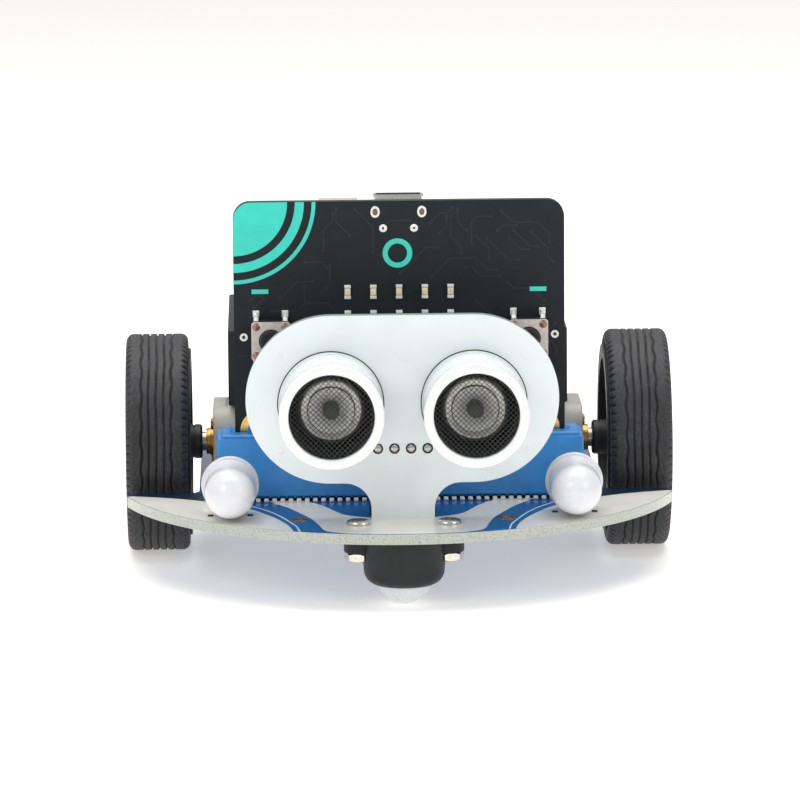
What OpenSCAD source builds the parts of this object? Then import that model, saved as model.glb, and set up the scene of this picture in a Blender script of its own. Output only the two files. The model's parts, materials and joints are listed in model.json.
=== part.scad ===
// Two wheel robot car with a plug-in controller card and a mask-shaped distance sensor.
// X points to the right seen from the front, the front bumper faces -Y, Z is up.
// The origin lies on the floor under the middle of the car's length and width.

/* [Main board] */
// Length from the bumper edge to the tail
board_len = 85.6; // [85:0.1:86.4]
// Width across the wing tips
board_w = 85.4; // [84.8:0.1:86]
// Thickness of every circuit board
pcb_t = 1.6; // [1.5:0.05:1.6]
// Radius of the bumper edge
bumper_r = 44.5; // [44:0.1:45.5]
// Half the board's width between the wheels
waist_x = 31.5; // [31:0.1:31.6]
// Distance between the two front mounting holes
mount_gap = 31.8; // [30:0.1:33]
// Radius of the front mounting holes
mount_r = 1.1; // [1:0.05:1.3]

/* [Wheels] */
// Diameter over the tyre
wheel_d = 34.5; // [34.4:0.1:34.6]
// Distance from the bumper edge back to the wheel axle
axle_setback = 51.8; // [51.4:0.1:52.2]
// Distance between the outer faces of the two tyres
track_w = 86; // [85.8:0.1:86.4]
// Width of a tyre
tyre_w = 9.8; // [9.6:0.1:9.9]
// Radius of the rim that the tyre sits on
rim_r = 14.1; // [13.8:0.1:14.2]
// Radius of the wheel hub
hub_r = 2.75; // [2.5:0.05:3]
// Radius of the D-shaped output shaft
shaft_r = 1.5; // [1.4:0.05:1.5]

/* [Gear motors] */
// Width of a gear motor, front to back
motor_w = 12; // [11.8:0.1:12]
// Height of a gear motor
motor_h = 10; // [9.8:0.1:10]
// Length of a motor can
can_len = 15; // [14:0.5:16]
// Length of a gearbox
gearbox_len = 9; // [9:0.05:9.1]
// Module of the gear teeth
gear_mod = 0.2; // [0.19:0.005:0.2]

/* [Caster] */
// Diameter of the caster ball
ball_d = 9.52; // [9.4:0.02:9.6]
// Distance from the bumper edge back to the ball's centre
ball_setback = 8.3; // [8.2:0.1:9]

/* [Controller card] */
// Width of the controller card
card_w = 51.4; // [51:0.1:51.6]
// Height of the controller card
card_h = 42; // [41.8:0.1:42.4]
// Distance from the bumper edge back to the card's front face
card_setback = 30.4; // [30.2:0.1:30.6]
// Spacing of the light grid
led_pitch = 4; // [3.8:0.1:4.1]
// Pitch of the edge connector's contacts
edge_pitch = 1.27; // [1.25:0.01:1.27]

/* [Sensor] */
// Half the distance between the two transducers
eye_x = 10.95; // [10.6:0.05:11.2]
// Radius of a transducer can
eye_r = 8; // [7.9:0.05:8.1]
// Length of a transducer can
eye_len = 12; // [11.6:0.1:12.1]
// Radius of the two rounded ends of the mask
mask_r = 13; // [12.8:0.1:13.2]

/* [Battery box] */
// Width of the battery box
box_w = 53.6; // [53:0.1:54]
// Depth of the battery box, front to back
box_d = 36; // [35.6:0.1:36.4]
// Diameter of an AAA cell
cell_d = 10.4; // [10.2:0.1:10.5]
// Length of an AAA cell
cell_len = 44.4; // [44:0.1:44.5]

/* [Hidden] */
$fn = 48;
e = 0.01;

front_y = -board_len / 2;
tail_y = board_len / 2;
axle_y = front_y + axle_setback;
axle_z = wheel_d / 2;
board_top = axle_z - motor_h / 2;
board_bot = board_top - pcb_t;
wing_back_y = axle_y - wheel_d / 2;
bumper_cy = front_y + bumper_r;

tyre_out_x = track_w / 2;
tyre_in_x = tyre_out_x - tyre_w;
lip_x = tyre_in_x - 0.4;
hub_in_x = lip_x - 1.7;
gear_out_x = hub_in_x - 1.8;
gear_in_x = gear_out_x - gearbox_len;
plate_t = 0.8;
arbor_y = 16 * gear_mod;

ball_r = ball_d / 2;
ball_y = front_y + ball_setback;
caster_screw_x = 6.9;
ear_t = 2.75;
nut_h = 1.15;
line_sensor_y = front_y + 20;

card_y = front_y + card_setback;
card_z = board_top + 4.55;
card_top = card_z + card_h;
conn_w = 57;
conn_y = card_y - 3.6;
conn_d = 8.6;
conn_z = board_top + 0.7;
conn_top = card_z + 5.9;
contacts = 40;
button_x = 20;
button_z = card_z + 20.7;
reset_x = -9.35;
light_z = card_z + 27.8;

mask_y = front_y + 12.4;
mask_top = board_top + 31.55;
mask_cz = mask_top - mask_r;
eye_z = mask_cz - 0.6;
neck_x = 4.85;
neck_r = 4;
header_y = mask_y + pcb_t + 2.7;
sensor_pitch = 2.54;
solder_z = board_top + 10.9;
socket_h = 8;

light_x = 26.5;
flange_r = 4.45;
lamp_r = 3.9;
lamp_z = board_top + flange_r;
lamp_back_y = front_y + 18.6;

screw_y = 9.2;
screw_x = gear_out_x - 4.4;
screw_r = 0.95;
arch_top = axle_z + 6.3;

foam_t = 0.8;
box_z = arch_top + foam_t;
box_y = axle_y - 8;
box_h = 12.1;
box_wall = 1.4;
cell_z = box_z + box_wall + cell_d / 2;
cells = 3;

switch_y = tail_y - 9;
header_row_y = tail_y - 5;

// A copy of the children on each side of the car.
module both() {
    children();
    mirror([1, 0, 0]) children();
}

// The children drawn around the origin with +Z outward, placed on the right or the left axle.
module on_axle(left, x) {
    mirror([left ? 1 : 0, 0, 0])
        translate([x, axle_y, axle_z])
            rotate([90, 0, 90]) children();
}

// A cylinder along Y from y to y + len.
module bar_y(r, len) {
    rotate([-90, 0, 0]) cylinder(r = r, h = len);
}

// A rectangle with corner arcs, centred on the origin.
module round_rect(w, h, r) {
    square([w - 2 * r, h], center = true);
    square([w, h - 2 * r], center = true);
    for (sx = [-1, 1], sy = [-1, 1])
        translate([sx * (w / 2 - r), sy * (h / 2 - r)]) circle(r = r);
}

// A plate with rounded corners that stands in the XZ plane and is t thick from y = 0.
module standing_plate(w, h, r, t) {
    translate([0, t, 0]) rotate([90, 0, 0]) linear_extrude(t) round_rect(w, h, r);
}

// The outline of the main board: two wings inside the bumper arc, a waist and a rounded tail.
module board_outline() {
    tip_r = 2.5;
    tail_r = 8;
    fillet_r = 1.5;
    tip_x = board_w / 2;
    difference() {
        union() {
            intersection() {
                translate([0, bumper_cy]) circle(r = bumper_r, $fn = 192);
                union() {
                    translate([-tip_x, front_y - 1])
                        square([board_w, wing_back_y - tip_r - front_y + 1]);
                    translate([-tip_x + tip_r, front_y - 1])
                        square([board_w - 2 * tip_r, wing_back_y - front_y + 1]);
                }
            }
            for (s = [-1, 1]) {
                translate([s * (tip_x - tip_r), wing_back_y - tip_r]) circle(r = tip_r);
                translate([s * (waist_x - tail_r), tail_y - tail_r]) circle(r = tail_r);
            }
            translate([-waist_x, wing_back_y - 5])
                square([2 * waist_x, tail_y - tail_r - wing_back_y + 5]);
            translate([-waist_x + tail_r, 0]) square([2 * (waist_x - tail_r), tail_y]);
            translate([-waist_x - fillet_r, wing_back_y - e])
                square([2 * (waist_x + fillet_r), fillet_r + e]);
        }
        for (s = [-1, 1])
            translate([s * (waist_x + fillet_r + e), wing_back_y + fillet_r + e]) circle(r = fillet_r);
    }
}

module main_board() {
    color("royalblue")
        difference() {
            translate([0, 0, board_bot]) linear_extrude(pcb_t) board_outline();
            both() translate([mount_gap / 2, mask_y, board_bot - 1]) cylinder(r = mount_r, h = 4);
            both() translate([caster_screw_x, ball_y, board_bot - 1]) cylinder(r = 1, h = 4);
            both() for (s = [-1, 1])
                translate([screw_x, axle_y + s * screw_y, board_bot - 1]) cylinder(r = 1, h = 4);
            both() for (s = [-1, 1])
                translate([light_x + s * 3.05 - 0.45, lamp_back_y - 3.2, board_bot - 1]) cube([0.9, 1.6, 4]);
            both() for (i = [0:3])
                translate([light_x + (i - 1.5) * edge_pitch, lamp_back_y + 1.4, board_bot - 1])
                    cylinder(r = 0.4, h = 4);
        }
}

// Driver chips and small parts on the top of the main board, beside and behind the motors.
module board_chips() {
    color("dimgray") {
        translate([-3, axle_y + 12, board_top]) cube([6.4, 5, 1.2]);
        both() translate([11, axle_y + 12.5, board_top]) cube([4.9, 3.9, 1.2]);
        both() for (i = [0:4]) translate([19 + 1.9 * i, axle_y + 14.2, board_top]) cube([1, 1.6, 0.5]);
        both() for (i = [0:2]) translate([6 + 3.2 * i, axle_y - 13.6, board_top]) cube([1.6, 1, 0.5]);
        both() translate([29.3, axle_y + 19, board_top]) cube([1, 1.6, 0.5]);
    }
}

module edge_connector() {
    slot_w = card_w + 0.8;
    row_w = contacts * edge_pitch + 0.4;
    color("dodgerblue")
        difference() {
            union() {
                translate([-conn_w / 2, conn_y, conn_z]) cube([conn_w, conn_d, conn_top - conn_z - 0.6]);
                translate([-conn_w / 2 + 0.6, conn_y + 0.6, conn_z])
                    cube([conn_w - 1.2, conn_d - 1.2, conn_top - conn_z]);
                both() translate([conn_w / 2 - 2.4, conn_y + 1, board_top])
                    cube([2, conn_d - 2, conn_z - board_top + 1]);
            }
            translate([-slot_w / 2, card_y - 0.15, card_z - 0.1]) cube([slot_w, pcb_t + 0.3, 9]);
            for (y = [card_y - 0.85, card_y + pcb_t - e])
                translate([-row_w / 2, y, conn_z - 1]) cube([row_w, 0.85, conn_top - conn_z - 0.8]);
        }
}

// Two rows of spring contacts, each a blade against the card with a foot on the board.
module edge_contacts() {
    blade_h = 8;
    foot = 4;
    color("silver")
        for (side = [0, 1], i = [0:contacts - 1])
            translate([(i - (contacts - 1) / 2) * edge_pitch - 0.22, card_y + pcb_t / 2, board_top])
                mirror([0, side, 0]) {
                    translate([0, -pcb_t / 2 - 0.6, 0]) cube([0.44, 0.3, blade_h]);
                    translate([0, -pcb_t / 2 - foot, 0]) cube([0.44, foot - 0.3, 0.35]);
                    translate([0, -pcb_t / 2 - 0.6, blade_h - 1.4]) cube([0.44, 0.58, 0.8]);
                }
}

module controller_card() {
    ring_gap = 10.9;
    color("black")
        difference() {
            translate([0, card_y, card_z + card_h / 2]) standing_plate(card_w, card_h, 2.7, pcb_t);
            for (i = [-2:2])
                translate([i * ring_gap, card_y - 1, card_z + 6.1]) bar_y(2, pcb_t + 2);
            both() translate([24.2, card_y - 1, button_z + 0.1]) bar_y(0.3, pcb_t + 2);
        }
}

module card_lights() {
    color("wheat")
        for (i = [-2:2], j = [-2:2])
            translate([i * led_pitch - 0.5, card_y - 0.55, light_z - (j + 2) * led_pitch - 1.1])
                cube([1, 0.55, 2.2]);
}

module card_chips() {
    back_y = card_y + pcb_t;
    color("dimgray") {
        translate([-20, back_y, card_top - 19]) cube([6, 0.9, 6]);
        translate([-3.5, back_y, card_top - 19]) cube([7, 0.9, 7]);
        translate([8, back_y, card_top - 16]) cube([3, 0.8, 3]);
        translate([14, back_y, card_top - 17]) cube([2, 0.8, 2]);
        translate([9, back_y, card_top - 23]) cube([3, 1, 1.6]);
        for (i = [0:6]) translate([-22 + 2.2 * i, back_y, card_top - 24]) cube([1, 0.5, 1.6]);
        for (i = [0:3]) translate([7 + 2.2 * i, back_y, card_top - 10]) cube([1, 0.5, 1.6]);
    }
}

// Sheet metal shell, open at the top where the lead plugs in.
module usb_socket() {
    color("silver")
        translate([0, card_y + pcb_t, card_top - 4.3])
            difference() {
                translate([-3.7, 0, 0]) cube([7.4, 2.6, 5]);
                translate([-3.4, 0.3, 0.6]) cube([6.8, 2, 5]);
            }
}

module usb_tongue() {
    color("dimgray")
        translate([-2, card_y + pcb_t + 1.5, card_top - 3.7]) cube([4, 0.6, 3.7]);
}

// Two-pin side-entry socket for a battery lead on the card.
module card_battery_socket() {
    color("ivory")
        translate([-18.6, card_y + pcb_t, card_top - 8.1])
            difference() {
                translate([-3.9, 0, 0]) cube([7.8, 4.8, 7.1]);
                translate([-2.9, 0.8, 1.4]) cube([5.8, 3.2, 6.5]);
            }
}

// Square tactile switch bodies: two on the card's front and the reset switch on its back.
module button_housings() {
    color("silver") {
        for (s = [-1, 1])
            translate([s * button_x, card_y - 3.4, button_z])
                difference() {
                    standing_plate(6, 6, 0.5, 3.4);
                    translate([0, -1, 0]) bar_y(1.85, 3.2);
                }
        translate([reset_x, card_y + pcb_t, card_top - 1.5])
            difference() {
                standing_plate(6, 3.6, 0.3, 2.6);
                translate([-1.65, 0.8, -0.85]) cube([3.3, 3, 1.7]);
            }
    }
}

module button_cap(x) {
    color("black")
        translate([x, card_y - 4.6, button_z]) bar_y(1.75, 3.1);
}

module left_button() {
    button_cap(-button_x);
}

module right_button() {
    button_cap(button_x);
}

module reset_button() {
    color("black")
        translate([reset_x - 1.5, card_y + pcb_t + 1.1, card_top - 2.2]) cube([3, 2.1, 1.4]);
}

// The mask: a stadium with a neck that stands on the main board.
module mask_outline() {
    hull_w = 2 * eye_x;
    base_z = mask_cz - mask_r;
    difference() {
        union() {
            translate([-hull_w / 2, base_z]) square([hull_w, 2 * mask_r]);
            for (s = [-1, 1]) translate([s * eye_x, mask_cz]) circle(r = mask_r, $fn = 96);
            translate([-neck_x, board_top]) square([2 * neck_x, base_z - board_top + 1]);
            translate([-neck_x - neck_r, base_z - neck_r]) square([2 * (neck_x + neck_r), neck_r + 0.5]);
        }
        for (s = [-1, 1])
            translate([s * (neck_x + neck_r + e), base_z - neck_r - e]) circle(r = neck_r);
        for (i = [-1.5:1.5]) translate([i * sensor_pitch, solder_z]) circle(r = 0.5);
    }
}

module sensor_board() {
    color("whitesmoke")
        translate([0, mask_y + pcb_t, 0]) rotate([90, 0, 0]) linear_extrude(pcb_t) mask_outline();
}

module transducer_cans() {
    wall = 1.5;
    color("white")
        both() translate([eye_x, mask_y - eye_len, eye_z])
            difference() {
                bar_y(eye_r, eye_len);
                translate([0, -1, 0]) bar_y(eye_r - wall, eye_len);
            }
}

module transducer_meshes() {
    color("dimgray")
        both() translate([eye_x, mask_y - eye_len + 0.5, eye_z]) bar_y(eye_r - 1.5, 0.3);
}

// Shallow horn inside each transducer, narrow end at the back.
module transducer_cones() {
    color("silver")
        both() translate([eye_x, mask_y - 1, eye_z])
            rotate([90, 0, 0])
                rotate_extrude()
                    polygon([[0, 0], [1.4, 0], [1.4, 4.2], [5, 7], [5, 7.4], [1.2, 5.2], [0, 5.2]]);
}

// Right-angle pins: soldered through the mask and plugged down into the socket.
module sensor_pins() {
    color("gold")
        for (i = [-1.5:1.5]) translate([i * sensor_pitch, 0, 0]) {
            translate([0, mask_y - 0.25, solder_z]) bar_y(0.35, header_y - mask_y + 0.6);
            translate([0, header_y, board_top + 3]) cylinder(r = 0.35, h = solder_z - board_top - 3);
            translate([0, mask_y - 0.25, solder_z]) bar_y(0.85, 0.25 - 0.02);
        }
}

module sensor_pin_block() {
    block_z = board_top + socket_h;
    color("black")
        difference() {
            translate([-5.1, header_y - 1.25, block_z]) cube([10.2, 2.5, solder_z - block_z - 0.6]);
            for (i = [-1.5:1.5])
                translate([i * sensor_pitch, header_y, block_z - 1]) cylinder(r = 0.35, h = 6);
        }
}

module sensor_socket() {
    color("black")
        difference() {
            translate([-5.1, header_y - 1.25, board_top]) cube([10.2, 2.5, socket_h]);
            for (i = [-1.5:1.5])
                translate([i * sensor_pitch, header_y, board_top + 2]) cylinder(r = 0.5, h = socket_h);
        }
}

// A diffused lamp lying on its side: flange, body and dome, turned about its own axis.
module headlight(x) {
    body_len = 6.3;
    color("white")
        translate([x, lamp_back_y, lamp_z])
            rotate([90, 0, 0])
                rotate_extrude()
                    difference() {
                        union() {
                            square([flange_r, 1]);
                            square([lamp_r, 1 + body_len]);
                            translate([0, 1 + body_len]) circle(r = lamp_r);
                        }
                        translate([-5, -10]) square([5, 30]);
                        translate([-5, -10]) square([20, 10]);
                    }
}

module left_headlight() {
    headlight(-light_x);
}

module right_headlight() {
    headlight(light_x);
}

module headlight_leads() {
    lead_r = 0.28;
    run = 1.4;
    color("silver")
        both() for (i = [0:3]) translate([light_x + (i - 1.5) * edge_pitch, lamp_back_y, 0]) {
            translate([0, 0, lamp_z]) bar_y(lead_r, run);
            translate([0, run, board_bot - 0.8]) cylinder(r = lead_r, h = lamp_z - board_bot + 0.8);
            translate([0, run, lamp_z]) sphere(r = lead_r);
        }
}

// Black cup with two ears; the ball sits in a ball-shaped hollow and cannot fall out.
module caster_housing() {
    ear_x = 9.2;
    top_r = 6.6;
    cup_r = 6.2;
    lip_z = 3;
    round_r = 2.2;
    ear_z = board_bot - ear_t;
    color("black")
        difference() {
            translate([0, ball_y, 0]) union() {
                rotate_extrude($fn = 96) {
                    translate([0, lip_z]) square([cup_r - round_r, round_r]);
                    intersection() {
                        translate([cup_r - round_r, lip_z + round_r]) circle(r = round_r);
                        translate([0, lip_z]) square([cup_r, round_r]);
                    }
                }
                translate([0, 0, lip_z + round_r - e])
                    cylinder(r1 = cup_r, r2 = top_r, h = board_bot - lip_z - round_r + e);
                translate([-caster_screw_x, -2.1, ear_z]) cube([2 * caster_screw_x, 4.2, ear_t]);
                both() translate([caster_screw_x, 0, ear_z]) cylinder(r = ear_x - caster_screw_x, h = ear_t);
            }
            translate([0, ball_y, ball_r]) sphere(r = ball_r + 0.08, $fn = 96);
            both() translate([caster_screw_x, ball_y, 0]) cylinder(r = 1, h = board_bot + 1);
            both()
                translate([caster_screw_x, ball_y, ear_z - nut_h - 0.05])
                    cylinder(r = 2.38, h = nut_h + 0.05);
        }
}

module caster_ball() {
    color("white") translate([0, ball_y, ball_r]) sphere(r = ball_r, $fn = 96);
}

// A pan head screw pointing down with the underside of its head at z = 0.
module screw(len) {
    head_r = 1.9;
    head_h = 0.75;
    difference() {
        union() {
            cylinder(r = head_r, h = head_h);
            translate([0, 0, -len]) cylinder(r = screw_r, h = len + e);
        }
        for (a = [0, 90]) rotate(a) translate([-1.1, -0.22, head_h - 0.5]) cube([2.2, 0.44, 1]);
    }
}

module board_screws() {
    color("silver") both() {
        translate([caster_screw_x, ball_y, board_top]) screw(pcb_t + ear_t + nut_h + 0.4);
        for (s = [-1, 1])
            translate([screw_x, axle_y + s * screw_y, board_top + 3]) screw(3 + pcb_t + nut_h + 0.4);
    }
}

// A hexagon nut hanging from z = 0.
module nut() {
    difference() {
        translate([0, 0, -nut_h]) cylinder(r = 2 / cos(30), h = nut_h, $fn = 6);
        translate([0, 0, -2]) cylinder(r = 1, h = 3);
    }
}

module board_nuts() {
    color("silver") both() {
        translate([caster_screw_x, ball_y, board_bot - ear_t]) nut();
        for (s = [-1, 1]) translate([screw_x, axle_y + s * screw_y, board_bot]) nut();
    }
}

module tyre(left) {
    shoulder_r = 1.2;
    color("dimgray")
        on_axle(left, tyre_in_x)
            rotate_extrude($fn = 180) {
                translate([rim_r, 0]) square([axle_z - shoulder_r - rim_r, tyre_w]);
                translate([rim_r, shoulder_r]) square([axle_z - rim_r, tyre_w - 2 * shoulder_r]);
                for (z = [shoulder_r, tyre_w - shoulder_r])
                    translate([axle_z - shoulder_r, z]) circle(r = shoulder_r);
            }
}

module left_tyre() {
    tyre(true);
}

module right_tyre() {
    tyre(false);
}

// The flat of the D-shaped shaft, as a cut.
module d_section(r) {
    intersection() {
        circle(r = r);
        translate([-2 * r, -2 * r]) square([2 * r + r * 2 / 3, 4 * r]);
    }
}

// Rim with a pierced web and a hub that slides on the output shaft.
module wheel(left) {
    barrel_r = rim_r - 1.4;
    web_x = 1.9;
    web_t = 2.2;
    window_r = 2.4;
    windows = 6;
    hub_len = lip_x - hub_in_x + web_x + web_t + 0.6;
    color("darkslategray")
        on_axle(left, hub_in_x)
            difference() {
                union() {
                    translate([0, 0, lip_x - hub_in_x])
                        difference() {
                            union() {
                                cylinder(r = rim_r, h = tyre_w - 0.1, $fn = 96);
                                cylinder(r = rim_r + 0.8, h = 0.38, $fn = 96);
                            }
                            translate([0, 0, web_x + web_t]) cylinder(r = barrel_r, h = 20, $fn = 96);
                            translate([0, 0, -1]) cylinder(r = barrel_r, h = web_x + 1, $fn = 96);
                            for (a = [0:windows - 1])
                                rotate(a * 360 / windows) translate([8, 0, 0]) cylinder(r = window_r, h = 6);
                        }
                    cylinder(r = hub_r, h = hub_len);
                }
                translate([0, 0, -1]) linear_extrude(12) d_section(shaft_r + 0.02);
            }
}

module left_wheel() {
    wheel(true);
}

module right_wheel() {
    wheel(false);
}

// A spur gear outline: tapered teeth on a root circle, the first tooth at angle a0.
module gear_outline(teeth, a0) {
    pitch_r = teeth * gear_mod / 2;
    root_r = pitch_r - 1.25 * gear_mod;
    tip_r = pitch_r + 0.85 * gear_mod;
    half_root = 0.85 * gear_mod;
    half_tip = 0.3 * gear_mod;
    circle(r = root_r);
    for (i = [0:teeth - 1])
        rotate(a0 + i * 360 / teeth)
            polygon([[root_r - 0.1, -half_root], [root_r - 0.1, half_root], [root_r, half_root],
                [tip_r, half_tip], [tip_r, -half_tip], [root_r, -half_root]]);
}

// A 24-tooth wheel with an 8-tooth pinion outboard of it; offset sets it on the second arbor.
module compound_gear(left, x, wheel_t, pinion_t, offset) {
    color("goldenrod")
        on_axle(left, x) translate([offset ? arbor_y : 0, 0, 0])
            difference() {
                union() {
                    linear_extrude(wheel_t) gear_outline(24, offset ? 7.5 : 0);
                    linear_extrude(wheel_t + pinion_t) gear_outline(8, offset ? 22.5 : 0);
                }
                translate([0, 0, -1]) cylinder(r = 0.35, h = 10, $fn = 24);
            }
}

module first_gear(left) {
    compound_gear(left, gear_in_x + 1.05, 1, 1.6, true);
}

module second_gear(left) {
    compound_gear(left, gear_in_x + 2.55, 1, 1.6, false);
}

module third_gear(left) {
    compound_gear(left, gear_in_x + 4.05, 1, 2.5, true);
}

module left_first_gear() {
    first_gear(true);
}

module right_first_gear() {
    first_gear(false);
}

module left_second_gear() {
    second_gear(true);
}

module right_second_gear() {
    second_gear(false);
}

module left_third_gear() {
    third_gear(true);
}

module right_third_gear() {
    third_gear(false);
}

// Motor pinion on the motor's own thin shaft.
module pinion(left) {
    color("goldenrod")
        on_axle(left, gear_in_x + 0.05) {
            cylinder(r = 0.4, h = 1.2, $fn = 24);
            translate([0, 0, 1]) linear_extrude(1.25) gear_outline(8, 0);
        }
}

module left_pinion() {
    pinion(true);
}

module right_pinion() {
    pinion(false);
}

// D-shaft with its output gear, and the thin journal that carries the second gear.
module axle(left) {
    shaft_start = gear_in_x + 5.6;
    plain_end = gear_out_x + 1.8;
    shaft_end = gear_out_x + 8;
    color("silver")
        on_axle(left, 0) {
            translate([0, 0, gear_in_x + 2.4]) cylinder(r = 0.28, h = 4, $fn = 24);
            translate([0, 0, shaft_start]) cylinder(r = shaft_r, h = plain_end - shaft_start);
            translate([0, 0, plain_end - e]) linear_extrude(shaft_end - plain_end) d_section(shaft_r);
            translate([0, 0, gear_in_x + 6]) linear_extrude(1.4) gear_outline(24, 0);
        }
}

module left_axle() {
    axle(true);
}

module right_axle() {
    axle(false);
}

// Two brass plates held apart by posts, with the outer bearing boss and the second arbor.
module gearbox(left) {
    post_r = 0.9;
    boss_len = 1.2;
    color("darkgoldenrod")
        on_axle(left, gear_in_x)
            difference() {
                union() {
                    for (z = [0, gearbox_len - plate_t])
                        translate([0, 0, z]) linear_extrude(plate_t) round_rect(motor_w, motor_h - 0.1, 1);
                    for (s = [-1, 1])
                        translate([s * 4.9, -s * 3.7, 0]) cylinder(r = post_r, h = gearbox_len);
                    translate([arbor_y, 0, 0]) cylinder(r = 0.3, h = gearbox_len, $fn = 24);
                    translate([0, 0, gearbox_len - e]) cylinder(r = 2, h = boss_len);
                }
                translate([0, 0, 2]) cylinder(r = shaft_r + 0.05, h = 20);
                translate([0, 0, -1]) cylinder(r = 0.6, h = 3);
            }
}

module left_gearbox() {
    gearbox(true);
}

module right_gearbox() {
    gearbox(false);
}

// Motor can with two flats, its end cap and two solder tabs.
module motor(left) {
    cap_t = 1.2;
    color("silver")
        on_axle(left, gear_in_x - can_len) {
            translate([0, 0, cap_t])
                linear_extrude(can_len - cap_t)
                    intersection() {
                        circle(r = motor_w / 2);
                        square([motor_w + 1, motor_h - 0.1], center = true);
                    }
            linear_extrude(cap_t + e)
                intersection() {
                    circle(r = motor_w / 2 - 0.6);
                    square([motor_w + 1, motor_h - 1], center = true);
                }
            for (s = [-1, 1]) translate([s * 4 - 0.75, -0.25, -1.6]) cube([1.5, 0.5, 2]);
        }
}

module left_motor() {
    motor(true);
}

module right_motor() {
    motor(false);
}

// Arched saddle over the gearbox with a screw ear in front and behind.
module motor_bracket(left) {
    depth = 8.8;
    ear_t = 3;
    ear_y = 11.5;
    arch_w = 2 * 7.3;
    arch_h = arch_top - board_top;
    corner_r = 3;
    color("gainsboro")
        mirror([left ? 1 : 0, 0, 0])
            translate([gear_out_x - depth, axle_y, board_top])
                difference() {
                    union() {
                        rotate([90, 0, 90]) linear_extrude(depth) {
                            translate([-arch_w / 2, 0]) square([arch_w, arch_h - corner_r]);
                            translate([-arch_w / 2 + corner_r, 0]) square([arch_w - 2 * corner_r, arch_h]);
                            for (s = [-1, 1])
                                translate([s * (arch_w / 2 - corner_r), arch_h - corner_r])
                                    circle(r = corner_r);
                        }
                        translate([0, -ear_y, 0]) cube([depth, 2 * ear_y, ear_t]);
                    }
                    translate([-1, -motor_w / 2 - 0.1, -1]) cube([depth + 2, motor_w + 0.2, motor_h + 1.05]);
                    for (s = [-1, 1])
                        translate([depth - 4.4, s * screw_y, -1]) cylinder(r = 1, h = 6);
                    for (s = [-1, 1])
                        translate([depth - 4.4, s * screw_y, ear_t]) cylinder(r = 2.1, h = 20);
                }
}

module left_motor_bracket() {
    motor_bracket(true);
}

module right_motor_bracket() {
    motor_bracket(false);
}

// Open tray for three cells lying across the car, with low ribs between the cells.
module battery_box() {
    bay = (box_d - 2 * box_wall) / cells;
    color("black")
        difference() {
            union() {
                difference() {
                    translate([-box_w / 2, box_y, box_z]) cube([box_w, box_d, box_h]);
                    translate([-box_w / 2 + box_wall, box_y + box_wall, box_z + box_wall])
                        cube([box_w - 2 * box_wall, box_d - 2 * box_wall, 20]);
                }
                for (i = [1:cells - 1])
                    translate([-box_w / 2 + 1, box_y + box_wall + i * bay - 0.25, box_z + 0.5])
                        cube([box_w - 2, 0.5, 3]);
            }
            translate([-6, box_y - 1, box_z + 6]) cube([12, 3, 20]);
            translate([-6, box_y + box_d - 2, box_z + 6]) cube([12, 3, 20]);
        }
}

module battery_cells() {
    bay = (box_d - 2 * box_wall) / cells;
    color("slategray")
        for (i = [0:cells - 1])
            mirror([i % 2, 0, 0])
                translate([-cell_len / 2 + 0.4, box_y + box_wall + (i + 0.5) * bay, cell_z])
                    rotate([0, 90, 0]) {
                        cylinder(r = cell_d / 2, h = cell_len - 1);
                        cylinder(r = 1.9, h = cell_len);
                    }
}

// Spring plates at one end of each cell and flat plates at the other.
module battery_contacts() {
    bay = (box_d - 2 * box_wall) / cells;
    inner_x = box_w / 2 - box_wall;
    spring_len = inner_x - cell_len / 2 + 0.4 - 0.5;
    color("silver")
        for (i = [0:cells - 1])
            mirror([i % 2, 0, 0])
                translate([0, box_y + box_wall + (i + 0.5) * bay, cell_z]) {
                    translate([-inner_x, -4, -4]) cube([0.4, 8, 8]);
                    translate([inner_x - 0.4, -4, -4]) cube([0.4, 8, 8]);
                    translate([-inner_x + 0.4 - e, 0, 0]) rotate([0, 90, 0])
                        cylinder(r1 = 3.6, r2 = 2, h = spring_len + e);
                    translate([cell_len / 2 + 0.4, 0, 0]) rotate([0, 90, 0])
                        cylinder(r = 2, h = inner_x - cell_len / 2 - 0.8 + e);
                }
}

module foam_pad() {
    color("dimgray")
        translate([-box_w / 2 + 1, box_y + 1, arch_top]) cube([box_w - 2, box_d - 4, foam_t]);
}

// Two-pin side-entry socket on the main board for the battery box's lead.
module battery_socket() {
    color("ivory")
        translate([-21, tail_y - 12.4, board_top])
            difference() {
                cube([7.8, 7.6, 4.8]);
                translate([1, 1.4, 0.8]) cube([5.8, 7, 3.2]);
            }
}

// Slide switch by the tail, its slider travels along X.
module power_switch() {
    color("silver")
        translate([21.5, switch_y, board_top])
            difference() {
                translate([-4.3, -1.8, 0]) cube([8.6, 3.6, 3.5]);
                translate([-2.1, -0.85, 1.6]) cube([4.2, 1.7, 4]);
            }
}

module power_switch_slider() {
    color("black")
        translate([20.5, switch_y, board_top]) translate([-0.95, -0.75, 1.7]) cube([1.9, 1.5, 4.3]);
}

// Right-angle pin headers along the tail: two servo outputs and a four-pin expansion port.
HEADERS = [[-8.89, 3], [0, 3], [10.16, 4]];

module header_blocks() {
    color("black")
        for (h = HEADERS)
            translate([h[0] - h[1] * sensor_pitch / 2, header_row_y - 1.25, board_top])
                difference() {
                    cube([h[1] * sensor_pitch, 2.5, 2.5]);
                    for (i = [0:h[1] - 1])
                        translate([(i + 0.5) * sensor_pitch, -1, 1.25]) bar_y(0.35, 5);
                }
}

module header_pins() {
    pin_len = 5;
    color("gold")
        for (h = HEADERS, i = [0:h[1] - 1])
            translate([h[0] + (i + 0.5 - h[1] / 2) * sensor_pitch, header_row_y, board_top]) {
                translate([0, -2.6, 1.25]) bar_y(0.35, 2.6 + pin_len);
                translate([0, -2.6, 0.02]) cylinder(r = 0.35, h = 1.25);
            }
}

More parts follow.
